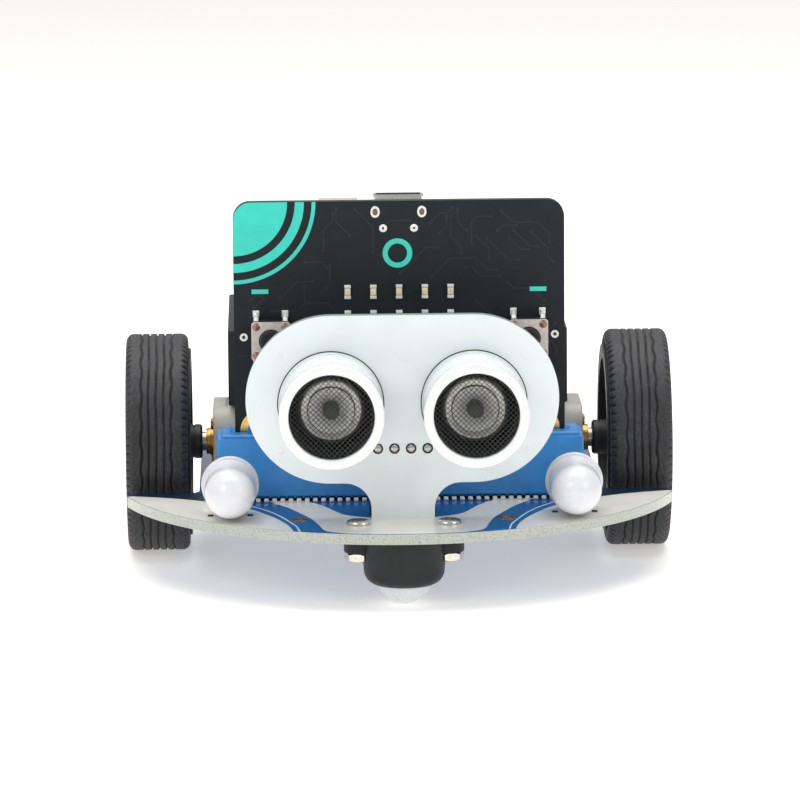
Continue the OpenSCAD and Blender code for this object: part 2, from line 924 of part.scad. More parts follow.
module buzzer() {
    color("black")
        translate([0, axle_y, board_top])
            difference() {
                cylinder(r = 4.2, h = 5);
                translate([0, 0, 4.2]) cylinder(r = 1, h = 2);
            }
}

module infrared_receiver() {
    color("dimgray")
        translate([-26.5, tail_y - 7, board_top])
            rotate([90, 0, 90]) {
                translate([-1.2, 0.8, -2.5]) cube([2.4, 5.6, 5]);
                translate([1.2, 3.6, 0]) rotate([0, 90, 0]) cylinder(r = 1.9, h = 1);
                for (i = [-1:1]) translate([-0.2, 0.02, i * 1.5 - 0.2]) cube([0.4, 0.9, 0.4]);
            }
}

// Two reflective line sensors and two light packages under the board.
module underside_sensors() {
    color("black") both() {
        translate([5, line_sensor_y, board_bot - 1.5]) cube([3.2, 2.7, 1.5]);
        translate([22, line_sensor_y + 6, board_bot - 1.6]) cube([5, 5, 1.6]);
    }
}

main_board();
board_chips();
edge_connector();
edge_contacts();
controller_card();
card_lights();
card_chips();
usb_socket();
usb_tongue();
card_battery_socket();
button_housings();
left_button();
right_button();
reset_button();
sensor_board();
transducer_cans();
transducer_meshes();
transducer_cones();
sensor_pins();
sensor_pin_block();
sensor_socket();
left_headlight();
right_headlight();
headlight_leads();
caster_housing();
caster_ball();
board_screws();
board_nuts();
left_tyre();
right_tyre();
left_wheel();
right_wheel();
left_axle();
right_axle();
left_third_gear();
right_third_gear();
left_second_gear();
right_second_gear();
left_first_gear();
right_first_gear();
left_pinion();
right_pinion();
left_gearbox();
right_gearbox();
left_motor();
right_motor();
left_motor_bracket();
right_motor_bracket();
battery_box();
battery_cells();
battery_contacts();
foam_pad();
battery_socket();
power_switch();
power_switch_slider();
header_blocks();
header_pins();
buzzer();
infrared_receiver();
underside_sensors();
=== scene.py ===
"""Two wheel robot car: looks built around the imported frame. Lengths below are in millimetres."""

import json
import math
import random

import bmesh
import bpy
from mathutils import Matrix, Vector, geometry


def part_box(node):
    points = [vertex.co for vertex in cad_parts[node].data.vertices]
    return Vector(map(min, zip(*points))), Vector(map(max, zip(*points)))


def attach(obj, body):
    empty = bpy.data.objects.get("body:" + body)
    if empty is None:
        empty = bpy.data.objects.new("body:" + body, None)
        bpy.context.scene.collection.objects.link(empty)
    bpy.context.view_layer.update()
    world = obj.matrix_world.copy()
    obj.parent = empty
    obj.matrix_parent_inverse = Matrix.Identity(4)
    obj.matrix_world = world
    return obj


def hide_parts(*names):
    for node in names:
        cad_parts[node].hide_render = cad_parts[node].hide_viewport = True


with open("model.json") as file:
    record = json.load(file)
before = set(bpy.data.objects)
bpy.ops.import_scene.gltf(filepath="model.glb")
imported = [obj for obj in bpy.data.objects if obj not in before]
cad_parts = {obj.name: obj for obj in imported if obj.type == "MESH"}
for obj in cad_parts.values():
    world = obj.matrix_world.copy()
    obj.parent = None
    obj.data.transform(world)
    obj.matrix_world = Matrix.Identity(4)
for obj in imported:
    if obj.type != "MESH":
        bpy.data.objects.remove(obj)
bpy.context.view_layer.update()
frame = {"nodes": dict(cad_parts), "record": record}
random.seed(11)

MM = 0.001
CHASSIS = "chassis"
SIDES = (("left", -1), ("right", 1))


def span(node):
    """Lowest and highest corner of a CAD node in millimetres."""
    low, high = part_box(node)
    return low / MM, high / MM


def middle(node):
    low, high = span(node)
    return (low + high) / 2


# ---------------------------------------------------------------- meshes

def piece(name, bm, material, body=CHASSIS, smooth=35, replaces=(), scale=MM):
    """A finished object from a bmesh in millimetres; smooth is the sharpest angle shaded smooth."""
    bmesh.ops.recalc_face_normals(bm, faces=bm.faces[:])
    mesh = bpy.data.meshes.new(name)
    bm.to_mesh(mesh)
    bm.free()
    mesh.transform(Matrix.Scale(scale, 4))
    obj = bpy.data.objects.new(name, mesh)
    bpy.context.scene.collection.objects.link(obj)
    mesh.materials.append(material)
    shade(obj, smooth)
    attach(obj, body)
    if replaces:
        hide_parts(*replaces)
    return obj


def shade(obj, angle):
    """Smooth shading with every edge sharper than angle kept sharp."""
    if angle <= 0:
        return
    mesh = obj.data
    mesh.polygons.foreach_set("use_smooth", [True] * len(mesh.polygons))
    mesh.set_sharp_from_angle(angle=math.radians(angle))


def add_box(bm, low, high, bevel=0.0, segments=2):
    """A box between two corners with rounded edges."""
    low, high = Vector(low), Vector(high)
    made = bmesh.ops.create_cube(bm, size=1.0)
    verts = made["verts"]
    centre, size = (low + high) / 2, high - low
    for v in verts:
        v.co = Vector((centre[i] + v.co[i] * size[i] for i in range(3)))
    if bevel > 0:
        edges = list({e for v in verts for e in v.link_edges})
        bmesh.ops.bevel(bm, geom=edges, offset=bevel, segments=segments, affect="EDGES", profile=0.5)
    return bm


def add_lathe(bm, profile, segments=64, place=Matrix.Identity(4), closed=False):
    """Turns (radius, height) points about Z, then places the result."""
    rings = []
    for radius, height in profile:
        if radius < 1e-6:
            rings.append([bm.verts.new(place @ Vector((0, 0, height)))])
            continue
        ring = []
        for k in range(segments):
            a = 2 * math.pi * k / segments
            ring.append(bm.verts.new(place @ Vector((radius * math.cos(a), radius * math.sin(a), height))))
        rings.append(ring)
    pairs = list(zip(rings, rings[1:]))
    if closed:
        pairs.append((rings[-1], rings[0]))
    for a, b in pairs:
        for k in range(segments):
            n = (k + 1) % segments
            if len(a) == 1 and len(b) == 1:
                continue
            if len(a) == 1:
                bm.faces.new((a[0], b[k], b[n]))
            elif len(b) == 1:
                bm.faces.new((a[k], a[n], b[0]))
            else:
                bm.faces.new((a[k], a[n], b[n], b[k]))
    return bm


def rounded(profile, radius=0.2, steps=3):
    """Softens the inner corners of an open (radius, height) profile with small arcs."""
    out = [profile[0]]
    for before, here, after in zip(profile, profile[1:], profile[2:]):
        h, b, a = Vector(here), Vector(before), Vector(after)
        to_b, to_a = b - h, a - h
        reach = min(radius, to_b.length * 0.45, to_a.length * 0.45)
        if reach < 1e-4:
            out.append(here)
            continue
        p, q = h + to_b.normalized() * reach, h + to_a.normalized() * reach
        for s in range(steps + 1):
            t = s / steps
            out.append(tuple((1 - t) ** 2 * p + 2 * t * (1 - t) * h + t * t * q))
    out.append(profile[-1])
    return out


def facing_front(x, y, z):
    """A placement whose local +Z points to the front, -Y."""
    return Matrix.Translation((x, y, z)) @ Matrix.Rotation(math.pi / 2, 4, "X")


def facing_back(x, y, z):
    """A frame at a point whose axis runs towards the tail (+Y)."""
    return Matrix.Translation((x, y, z)) @ Matrix.Rotation(-math.pi / 2, 4, "X")


def facing_side(side, x, y, z):
    """A placement whose local +Z points outward on the left (-1) or right (1) side."""
    return Matrix.Translation((x, y, z)) @ Matrix.Rotation(side * math.pi / 2, 4, "Y")


def add_prism(bm, outline, low, high, to_world):
    """An outline of 2D points extruded between two heights; to_world places (u, v, height)."""
    bottom = [bm.verts.new(to_world(u, v, low)) for u, v in outline]
    top = [bm.verts.new(to_world(u, v, high)) for u, v in outline]
    bm.faces.new(bottom[::-1])
    bm.faces.new(top)
    count = len(outline)
    for k in range(count):
        n = (k + 1) % count
        bm.faces.new((bottom[k], bottom[n], top[n], top[k]))
    return bm


def flat(u, v, h):
    return Vector((u, v, h))


def upright(u, v, h):
    """Outline in XZ, height towards the back."""
    return Vector((u, h, v))


def add_tube(bm, path, radius, sides=8, closed_ends=True):
    """A round wire along a list of points."""
    rings = []
    points = [Vector(p) for p in path]
    normal = None
    for i, p in enumerate(points):
        a = points[max(i - 1, 0)]
        b = points[min(i + 1, len(points) - 1)]
        along = (b - a).normalized()
        if normal is None:
            normal = along.orthogonal().normalized()
        normal = (normal - along * normal.dot(along)).normalized()
        other = along.cross(normal)
        rings.append([
            bm.verts.new(p + radius * (math.cos(t) * normal + math.sin(t) * other))
            for t in (2 * math.pi * k / sides for k in range(sides))
        ])
    for a, b in zip(rings, rings[1:]):
        for k in range(sides):
            n = (k + 1) % sides
            bm.faces.new((a[k], a[n], b[n], b[k]))
    if closed_ends:
        bm.faces.new(rings[0][::-1])
        bm.faces.new(rings[-1])
    return bm


def ring_points(radius, count=48, centre=(0, 0), start=0.0, sweep=2 * math.pi):
    steps = count if sweep >= 2 * math.pi - 1e-6 else count + 1
    return [
        (centre[0] + radius * math.cos(start + sweep * k / count),
         centre[1] + radius * math.sin(start + sweep * k / count))
        for k in range(steps)
    ]


def add_annulus(bm, inner, outer, low, high, place, segments=48):
    """A flat ring with thickness."""
    profile = [(inner, low), (outer, low), (outer, high), (inner, high)]
    return add_lathe(bm, profile, segments, place, closed=True)


# ---------------------------------------------------------------- materials

class Paint:
    """A material under construction: one Principled shader and small helpers."""

    def __init__(self, name, color, roughness, metallic=0.0, **sockets):
        self.mat = bpy.data.materials.new(name)
        self.mat.use_nodes = True
        self.tree = self.mat.node_tree
        self.bsdf = self.tree.nodes["Principled BSDF"]
        self.bsdf.inputs["Base Color"].default_value = (*color, 1)
        self.bsdf.inputs["Roughness"].default_value = roughness
        self.bsdf.inputs["Metallic"].default_value = metallic
        for key, value in sockets.items():
            self.bsdf.inputs[key.replace("_", " ")].default_value = value
        self.coords = self.tree.nodes.new("ShaderNodeTexCoord").outputs["Object"]
        self.height = None

    def node(self, kind, **values):
        made = self.tree.nodes.new(kind)
        for key, value in values.items():
            setattr(made, key, value)
        return made

    def link(self, a, b):
        self.tree.links.new(a, b)

    def noise(self, per_mm, detail=3.0, stretch=(1, 1, 1)):
        """Noise with per_mm cells to the millimetre."""
        mapping = self.node("ShaderNodeMapping")
        mapping.inputs["Scale"].default_value = stretch
        self.link(self.coords, mapping.inputs["Vector"])
        made = self.node("ShaderNodeTexNoise")
        made.inputs["Scale"].default_value = per_mm / MM
        made.inputs["Detail"].default_value = detail
        self.link(mapping.outputs["Vector"], made.inputs["Vector"])
        return made.outputs["Fac"]

    def ramp(self, source, stops):
        made = self.node("ShaderNodeValToRGB")
        elements = made.color_ramp.elements
        while len(elements) < len(stops):
            elements.new(0.5)
        for element, (at, color) in zip(elements, stops):
            element.position = at
            element.color = (*color, 1) if len(color) == 3 else color
        self.link(source, made.inputs["Fac"])
        return made.outputs["Color"]

    def mix(self, factor, a, b):
        """Mixes two colours; each may be an output or three numbers."""
        made = self.node("ShaderNodeMix", data_type="RGBA")
        self.link(factor, made.inputs["Factor"])
        for source, socket in ((a, made.inputs[6]), (b, made.inputs[7])):
            if isinstance(source, tuple):
                socket.default_value = (*source, 1)
            else:
                self.link(source, socket)
        return made.outputs[2]

    def math(self, operation, a, b=0.0):
        made = self.node("ShaderNodeMath", operation=operation)
        for source, socket in ((a, made.inputs[0]), (b, made.inputs[1])):
            if isinstance(source, (int, float)):
                socket.default_value = source
            else:
                self.link(source, socket)
        return made.outputs[0]

    def axis(self, which):
        """One coordinate of the object space, in metres."""
        made = self.node("ShaderNodeSeparateXYZ")
        self.link(self.coords, made.inputs[0])
        return made.outputs[which]

    def facing(self, which):
        """How much the surface faces along one axis of the object, 0 to 1."""
        geometry = self.node("ShaderNodeTexCoord")
        made = self.node("ShaderNodeSeparateXYZ")
        self.link(geometry.outputs["Normal"], made.inputs[0])
        return self.math("ABSOLUTE", made.outputs[which])

    def color(self, output):
        self.link(output, self.bsdf.inputs["Base Color"])
        return self

    def rough(self, source, low, high):
        made = self.node("ShaderNodeMapRange")
        made.inputs["To Min"].default_value = low
        made.inputs["To Max"].default_value = high
        self.link(source, made.inputs["Value"])
        self.link(made.outputs["Result"], self.bsdf.inputs["Roughness"])
        return self

    def bump(self, source, depth_mm, strength=1.0):
        made = self.node("ShaderNodeBump")
        made.inputs["Distance"].default_value = depth_mm * MM
        made.inputs["Strength"].default_value = strength
        self.link(source, made.inputs["Height"])
        if self.height:
            self.link(self.height, made.inputs["Normal"])
        self.height = made.outputs["Normal"]
        self.link(self.height, self.bsdf.inputs["Normal"])
        return self


def varied(name, color, roughness, metallic=0.0, cells=1.5, amount=0.12, grain=6.0, depth=0.01,
           spread=0.08, stretch=(1, 1, 1), **sockets):
    """A surface with slow colour variation, fine grain and uneven roughness."""
    paint = Paint(name, color, roughness, metallic, **sockets)
    slow = paint.noise(cells, 4.0, stretch)
    dark = tuple(c * (1 - amount) for c in color)
    light = tuple(min(1.0, c * (1 + amount)) for c in color)
    paint.color(paint.ramp(slow, [(0.3, dark), (0.7, light)]))
    paint.rough(paint.noise(cells * 2.3, 3.0, stretch), max(0.02, roughness - spread), roughness + spread)
    paint.bump(paint.noise(grain, 4.0, stretch), depth)
    return paint


def srgb(r, g, b):
    """An 8-bit screen colour as linear light."""
    def one(v):
        v /= 255
        return v / 12.92 if v <= 0.04045 else ((v + 0.055) / 1.055) ** 2.4
    return (one(r), one(g), one(b))


def board_paint(name, mask_color, axis, roughness=0.3, edge=srgb(166, 172, 164), clouds=0.12, **sockets):
    """Circuit board: glossy solder mask on its two faces and speckled glass fibre on its edge."""
    paint = Paint(name, mask_color, roughness, **sockets)
    slow = paint.noise(0.25, 4.0)
    dark = tuple(c * (1 - clouds) for c in mask_color)
    light = tuple(min(1.0, c * (1 + clouds)) for c in mask_color)
    face = paint.ramp(slow, [(0.3, dark), (0.7, light)])
    speckle = paint.noise(5.0, 6.0)
    fibre = paint.ramp(speckle, [(0.3, tuple(c * 0.42 for c in edge)), (0.46, edge),
                                 (0.7, tuple(min(1.0, c * 1.2) for c in edge))])
    on_face = paint.math("GREATER_THAN", paint.facing(axis), 0.6)
    paint.color(paint.mix(on_face, fibre, face))
    paint.bump(paint.noise(9.0, 5.0), 0.012, 0.6)
    return paint


def make_materials():
    """Every material by name, with the record's slot names where they match."""
    m = {}
    m["blue_board"] = board_paint("blue_solder_mask", srgb(26, 86, 146), 2, Coat_Weight=0.6,
                                  Coat_Roughness=0.08).mat
    m["white_board"] = board_paint("white_solder_mask", srgb(220, 228, 231), 1, 0.24, clouds=0.025,
                                   Coat_Weight=0.3, Coat_Roughness=0.12).mat
    m["black_board"] = board_paint("black_solder_mask", srgb(33, 38, 42), 1, 0.42, srgb(58, 60, 58),
                                   Specular_IOR_Level=0.16).mat
    m["white_art"] = varied("white_board_ink", srgb(224, 222, 213), 0.32, cells=0.3, amount=0.05,
                            grain=9, depth=0.004, Coat_Weight=0.3).mat
    m["pale_line"] = varied("pale_ink", srgb(206, 216, 220), 0.35, cells=0.4, amount=0.05).mat
    m["teal_ink"] = varied("teal_ink", srgb(46, 206, 188), 0.36, cells=0.4, amount=0.06,
                           grain=8, depth=0.004).mat
    m["blue_plastic"] = varied("blue_moulding", srgb(48, 132, 200), 0.36, cells=0.35, amount=0.1,
                               grain=5, depth=0.012).mat
    m["tinned_metal"] = varied("bright_tin", srgb(214, 214, 208), 0.22, 1.0, cells=2.5, amount=0.14,
                               grain=8, depth=0.01).mat
    m["chip_black"] = varied("chip_epoxy", srgb(34, 35, 37), 0.55, cells=1.2, amount=0.16,
                             grain=14, depth=0.012, Specular_IOR_Level=0.25).mat
    m["led_cream"] = varied("led_epoxy", srgb(240, 226, 190), 0.28, cells=1.5, amount=0.12,
                            Transmission_Weight=0.15).mat
    m["steel"] = varied("pressed_steel", srgb(196, 195, 190), 0.3, 1.0, cells=1.5, amount=0.12,
                        grain=10, depth=0.006, stretch=(1, 1, 0.15)).mat
    m["black_plastic"] = varied("black_moulding", srgb(34, 36, 38), 0.42, cells=0.6, amount=0.16,
                                grain=8, depth=0.012, Specular_IOR_Level=0.25).mat
    m["ivory_plastic"] = varied("ivory_nylon", srgb(236, 230, 212), 0.42, cells=0.6, amount=0.06,
                                grain=6, depth=0.008, Subsurface_Weight=0.1).mat
    m["can_white"] = varied("white_can_lacquer", srgb(222, 226, 226), 0.26, cells=0.4, amount=0.04,
                            grain=5, depth=0.006, Coat_Weight=0.5, Coat_Roughness=0.08).mat
    m["mesh_wire"] = varied("mesh_wire", srgb(70, 72, 72), 0.4, 0.6, cells=2, amount=0.2,
                            grain=14, depth=0.004).mat
    m["cone_silver"] = varied("cone_metal", srgb(246, 246, 242), 0.5, 0.0, cells=0.7, amount=0.16,
                              grain=7, depth=0.01).mat
    # Near-black painted shade for openings: inside the cans, in the lamp slots and in the USB latch slots.
    m["deep_black"] = varied("painted_opening_shade", srgb(14, 14, 15), 0.8, cells=1.0, amount=0.2).mat
    m["gold_plate"] = varied("gold_plate", srgb(222, 186, 116), 0.26, 1.0, cells=2.0, amount=0.14,
                             grain=9, depth=0.008).mat
    m["solder"] = varied("solder", srgb(176, 177, 172), 0.3, 0.9, cells=2.5, amount=0.2,
                         grain=5, depth=0.02).mat
    m["lamp_diffuser"] = varied("milky_epoxy", srgb(212, 214, 220), 0.3, cells=0.5, amount=0.03,
                                grain=4, depth=0.004, Subsurface_Weight=0.2, Subsurface_Scale=0.001,
                                Coat_Weight=0.5, Coat_Roughness=0.06).mat
    m["ball_white"] = varied("ball_nylon", srgb(216, 220, 224), 0.26, cells=0.5, amount=0.05,
                             grain=5, depth=0.008, Subsurface_Weight=0.15, Subsurface_Scale=0.002).mat
    m["fastener_steel"] = varied("nickel_plate", srgb(208, 205, 196), 0.26, 1.0, cells=2.5, amount=0.14,
                                 grain=9, depth=0.01).mat
    m["rim_plastic"] = varied("rim_moulding", srgb(52, 55, 57), 0.42, cells=0.5, amount=0.16,
                              grain=7, depth=0.015).mat
    m["shaft_steel"] = varied("ground_steel", srgb(168, 166, 160), 0.28, 1.0, cells=2, amount=0.14,
                              grain=12, depth=0.008, stretch=(0.1, 1, 1)).mat
    m["gear_brass"] = varied("cut_brass", srgb(206, 164, 92), 0.3, 1.0, cells=2, amount=0.16,
                             grain=10, depth=0.01).mat
    m["gearbox_brass"] = varied("stamped_brass", srgb(196, 154, 84), 0.34, 1.0, cells=1.2, amount=0.18,
                                grain=8, depth=0.012).mat
    m["motor_steel"] = varied("motor_can_nickel", srgb(186, 186, 182), 0.3, 1.0, cells=1.0, amount=0.12,
                              grain=9, depth=0.008, stretch=(0.12, 1, 1)).mat
    m["bracket_grey"] = varied("bracket_moulding", srgb(208, 206, 196), 0.42, cells=0.5, amount=0.07,
                               grain=6, depth=0.015, Subsurface_Weight=0.12, Subsurface_Scale=0.001).mat
    m["foam"] = varied("foam_tape", srgb(46, 46, 46), 0.95, cells=2, amount=0.3, grain=4, depth=0.12).mat
    m["card_trace"] = varied("buried_copper", srgb(42, 47, 51), 0.4, cells=0.4, amount=0.12,
                             Specular_IOR_Level=0.2).mat
    # Navy is painted shadow of the tyres on the plain blue board at the rear of each wing.
    m["tyre_shadow_navy"] = varied("tyre_shadow_navy", srgb(20, 38, 62), 0.3, cells=0.4, amount=0.12, Coat_Weight=0.4).mat
    m["board_trace"] = varied("buried_copper_blue", srgb(38, 100, 158), 0.3, cells=0.4, amount=0.1,
                              Coat_Weight=0.35).mat
    m["mask_trace"] = varied("buried_copper_white", srgb(214, 224, 225), 0.26, cells=0.4, amount=0.05,
                             Coat_Weight=0.35).mat
    # Dark green ring round each can: painted shadow of the gap between can and mask, tinted like the bare
    # board inside the gap.
    m["green_gap"] = varied("gap_shadow_ring", srgb(22, 66, 54), 0.4, cells=2, amount=0.2).mat
    m["bright_solder"] = varied("bright_solder", srgb(232, 233, 230), 0.4, 0.4, cells=2.5, amount=0.1,
                                grain=6, depth=0.015).mat
    m["amber_part"] = varied("ceramic_part", srgb(176, 148, 108), 0.4, cells=3, amount=0.15).mat
    m["bare_fibre"] = varied("bare_fibre", srgb(112, 92, 70), 0.6, cells=3, amount=0.2, grain=8).mat
    m["button_cover"] = varied("button_cover_metal", srgb(206, 197, 189), 0.42, 0.45, cells=1.5,
                               amount=0.12,
                               grain=10, depth=0.008).mat
    # Pinkish-brown colour of the four corner rivets on the switch covers.
    m["copper_rivet"] = varied("button_rivet", srgb(150, 112, 100), 0.34, 0.8, cells=3, amount=0.2,
                               grain=9, depth=0.01).mat
    m["yellow_plastic"] = varied("yellow_moulding", srgb(232, 188, 52), 0.42, cells=0.6, amount=0.08).mat
    m["tyre_rubber"] = tyre_paint()
    m["cell_wrap"] = cell_paint()
    return m


def tyre_paint():
    """Dusty dark rubber, paler where the tread is worn."""
    paint = Paint("tyre_rubber", srgb(46, 47, 50), 0.6, Sheen_Weight=0.1, Sheen_Roughness=0.5)
    patches = paint.noise(0.22, 5.0)
    dust = paint.noise(2.2, 6.0)
    both = paint.math("MULTIPLY", patches, dust)
    paint.color(paint.ramp(both, [(0.12, srgb(23, 24, 26)), (0.27, srgb(34, 35, 38)),
                                  (0.42, srgb(54, 55, 58))]))
    paint.rough(patches, 0.42, 0.78)
    paint.bump(paint.noise(7.0, 5.0), 0.03, 0.7)
    return paint.mat


def cell_paint():
    """Plain shrink sleeve: grey-green body with one pale ring; no markings."""
    paint = Paint("cell_sleeve", srgb(74, 92, 84), 0.26, Coat_Weight=0.5, Coat_Roughness=0.1)
    cloud = paint.noise(0.3, 4.0)
    body = paint.ramp(cloud, [(0.3, srgb(66, 84, 76)), (0.7, srgb(84, 102, 94))])
    band = paint.ramp(cloud, [(0.3, srgb(186, 190, 184)), (0.7, srgb(206, 210, 204))])
    attribute = paint.node("ShaderNodeAttribute", attribute_name="band")
    paint.color(paint.mix(attribute.outputs["Fac"], body, band))
    paint.bump(paint.noise(1.6, 3.0), 0.02)
    return paint.mat


MATERIAL = make_materials()


def dress_cad_nodes():
    """Each CAD node that stays visible gets the material of its record slot."""
    slots = {row["node"]: row["material_slot"] for row in frame["record"]["subparts"]}
    for node, obj in frame["nodes"].items():
        material = MATERIAL[slots[node]]
        if not obj.data.materials:
            obj.data.materials.append(material)
        for k in range(len(obj.material_slots)):
            obj.material_slots[k].material = material


dress_cad_nodes()


# ---------------------------------------------------------------- stage, lights, camera

CAM_AZIMUTH = -1.25
CAM_ELEVATION = 10.25
CAM_ROLL = -0.43
CAM_DISTANCE = 902 * MM
CAM_TARGET = Vector((0.16, -6.0, 26.27)) * MM
CAM_LENS = 258.6


def make_camera():
    """Camera slightly from the left and a little above, rolled under half a degree."""
    yaw, pitch, roll = (math.radians(v) for v in (-CAM_AZIMUTH, CAM_ELEVATION, CAM_ROLL))
    forward = Vector((math.sin(yaw) * math.cos(pitch), math.cos(yaw) * math.cos(pitch), -math.sin(pitch)))
    right = Vector((math.cos(yaw), -math.sin(yaw), 0))
    up = right.cross(forward)
    image_x = math.cos(roll) * right + math.sin(roll) * up
    image_y = -math.sin(roll) * right + math.cos(roll) * up
    turn = Matrix((image_x, image_y, -forward)).transposed().to_4x4()
    data = bpy.data.cameras.new("camera")
    data.lens = CAM_LENS
    data.clip_start = 0.05
    camera = bpy.data.objects.new("camera", data)
    camera.matrix_world = Matrix.Translation(CAM_TARGET - forward * CAM_DISTANCE) @ turn
    bpy.context.scene.collection.objects.link(camera)
    bpy.context.scene.camera = camera


def area_light(name, place, target, size, watts, size_y=None):
    data = bpy.data.lights.new(name, "AREA")
    data.energy = watts
    data.size = size
    if size_y:
        data.shape = "RECTANGLE"
        data.size_y = size_y
    light = bpy.data.objects.new(name, data)
    light.location = place
    light.rotation_euler = (Vector(target) - Vector(place)).to_track_quat("-Z", "Y").to_euler()
    bpy.context.scene.collection.objects.link(light)


def make_stage():
    """White sweep, a large soft overhead light and two soft sides."""
    bm = bmesh.new()
    reach = 3.0
    corners = [(-reach, -reach, 0), (reach, -reach, 0), (reach, reach, 0), (-reach, reach, 0)]
    bm.faces.new([bm.verts.new(c) for c in corners])
    mesh = bpy.data.meshes.new("floor")
    bm.to_mesh(mesh)
    bm.free()
    floor = bpy.data.objects.new("floor", mesh)
    bpy.context.scene.collection.objects.link(floor)
    paper = Paint("white_paper", (0.85, 0.82, 0.775), 0.85, Emission_Color=(1, 0.985, 0.955, 1),
                  Emission_Strength=0.42)
    mesh.materials.append(paper.mat)
    world = bpy.data.worlds.new("studio")
    world.use_nodes = True
    world.node_tree.nodes["Background"].inputs["Color"].default_value = (1, 1, 1, 1)
    world.node_tree.nodes["Background"].inputs["Strength"].default_value = 0.5
    bpy.context.scene.world = world
    area_light("overhead", (0.0, 0.06, 0.5), (0, 0, 0.02), 0.55, 3.0)
    area_light("front_left", (-0.42, -0.55, 0.42), (0, 0, 0.03), 0.35, 1.3)
    area_light("front_right", (0.5, -0.45, 0.3), (0, 0, 0.03), 0.3, 0.8)
    bpy.context.scene.view_settings.view_transform = "Standard"


make_camera()
make_stage()


# ---------------------------------------------------------------- curves

def smooth_curve(points, steps=6):
    """A soft curve through a few points."""
    out = []
    for i in range(len(points) - 1):
        p0 = Vector(points[max(i - 1, 0)])
        p1, p2 = Vector(points[i]), Vector(points[i + 1])
        p3 = Vector(points[min(i + 2, len(points) - 1)])
        for s in range(steps):
            t = s / steps
            out.append(tuple(0.5 * (2 * p1 + (p2 - p0) * t + (2 * p0 - 5 * p1 + 4 * p2 - p3) * t * t
                                    + (3 * p1 - p0 - 3 * p2 + p3) * t ** 3)))
    out.append(tuple(points[-1]))
    return out


def arc_between(radius, centre_y, x0, x1, steps=40):
    """Points on the front half of a circle centred on X = 0, from x0 to x1."""
    a0, a1 = math.asin(x0 / radius), math.asin(x1 / radius)
    angles = (a0 + (a1 - a0) * k / steps for k in range(steps + 1))
    return [(radius * math.sin(a), centre_y - radius * math.cos(a)) for a in angles]


def strip(points, width):
    """The outline of a narrow band along a curve."""
    left, right = [], []
    for i, p in enumerate(points):
        a, b = Vector(points[max(i - 1, 0)]), Vector(points[min(i + 1, len(points) - 1)])
        along = (b - a).normalized()
        side = Vector((-along.y, along.x)) * width / 2
        left.append(tuple(Vector(p) + side))
        right.append(tuple(Vector(p) - side))
    return left + right[::-1]


def mirrored(points):
    return [(-x, y) for x, y in points][::-1]


# ---------------------------------------------------------------- main board

BOARD_LOW, BOARD_HIGH = span("main_board")
BOARD_TOP = BOARD_HIGH.z
BOARD_BOTTOM = BOARD_LOW.z
INK = 0.02
BUMPER_R = 44.5
BUMPER_CY = BOARD_LOW.y + BUMPER_R
MOUNT_X = 15.9
MOUNT_Y = span("sensor_board")[0].y
WING_INNER = [(16.9, -39.1), (17.6, -35.1), (18.8, -31.2), (20.3, -27.7), (22.0, -24.3),
              (23.9, -21.5), (27.0, -18.0), (31.5, -14.8), (36.5, -12.3), (42.0, -10.6)]
BAND_OUTER = [(20.8, -15.6), (19.4, -18.1), (17.5, -21.3), (15.7, -25.7), (14.0, -30.2), (13.0, -34.6),
              (12.0, -39.2), (9.6, -41.0)]
BAND_INNER = [(4.9, -29.6), (7.6, -28.3), (9.3, -26.6), (10.7, -23.5), (11.6, -21.3), (13.2, -18.3),
              (15.4, -15.6)]
PALE_LINE = [(15.9, -39.6), (16.4, -35.7), (17.4, -32.2), (19.0, -27.3), (21.0, -23.0), (23.4, -19.4),
             (26.4, -15.8)]


def wing_rear():
    """The strip between the white band and the rear edge of the right wing."""
    inner = [p for p in smooth_curve(WING_INNER) if p[0] > 30.5]
    tip = ring_points(2.4, 8, (BOARD_HIGH.x - 2.5, -10.75), 0, math.pi / 2)
    return inner + tip + [(inner[0][0], -8.35)]


def make_board_art():
    """White bands printed on the blue board, laid as thin ink; a navy band of painted tyre shadow over the
    plain blue board behind each wing; and pale lines.
    """
    bm = bmesh.new()
    wing = smooth_curve(WING_INNER)
    edge = arc_between(BUMPER_R - 0.12, BUMPER_CY, wing[0][0] + 0.3, 42.2)
    outline = edge + [(42.55, -11.2), (42.6, -10.9)] + wing[::-1]
    band = smooth_curve(BAND_INNER) + smooth_curve(BAND_OUTER)
    front = arc_between(BUMPER_R - 0.5, BUMPER_CY, 8.9, -8.9)
    add_prism(bm, outline, BOARD_TOP, BOARD_TOP + INK, flat)
    add_prism(bm, mirrored(outline), BOARD_TOP, BOARD_TOP + INK, flat)
    add_prism(bm, band + front + mirrored(band), BOARD_TOP, BOARD_TOP + INK, flat)
    piece("board_white_bands", bm, MATERIAL["white_art"], smooth=0)
    # The board behind each wing's white band is plain blue; the navy band laid there is painted tyre shadow.
    bm = bmesh.new()
    add_prism(bm, wing_rear(), BOARD_TOP, BOARD_TOP + INK, flat)
    add_prism(bm, mirrored(wing_rear()), BOARD_TOP, BOARD_TOP + INK, flat)
    piece("board_tyre_shadow_bands", bm, MATERIAL["tyre_shadow_navy"], smooth=0)
    bm = bmesh.new()
    line = strip(smooth_curve(PALE_LINE), 0.28)
    add_prism(bm, line, BOARD_TOP, BOARD_TOP + INK, flat)
    add_prism(bm, mirrored(line), BOARD_TOP, BOARD_TOP + INK, flat)
    piece("board_pale_lines", bm, MATERIAL["pale_line"], smooth=0)


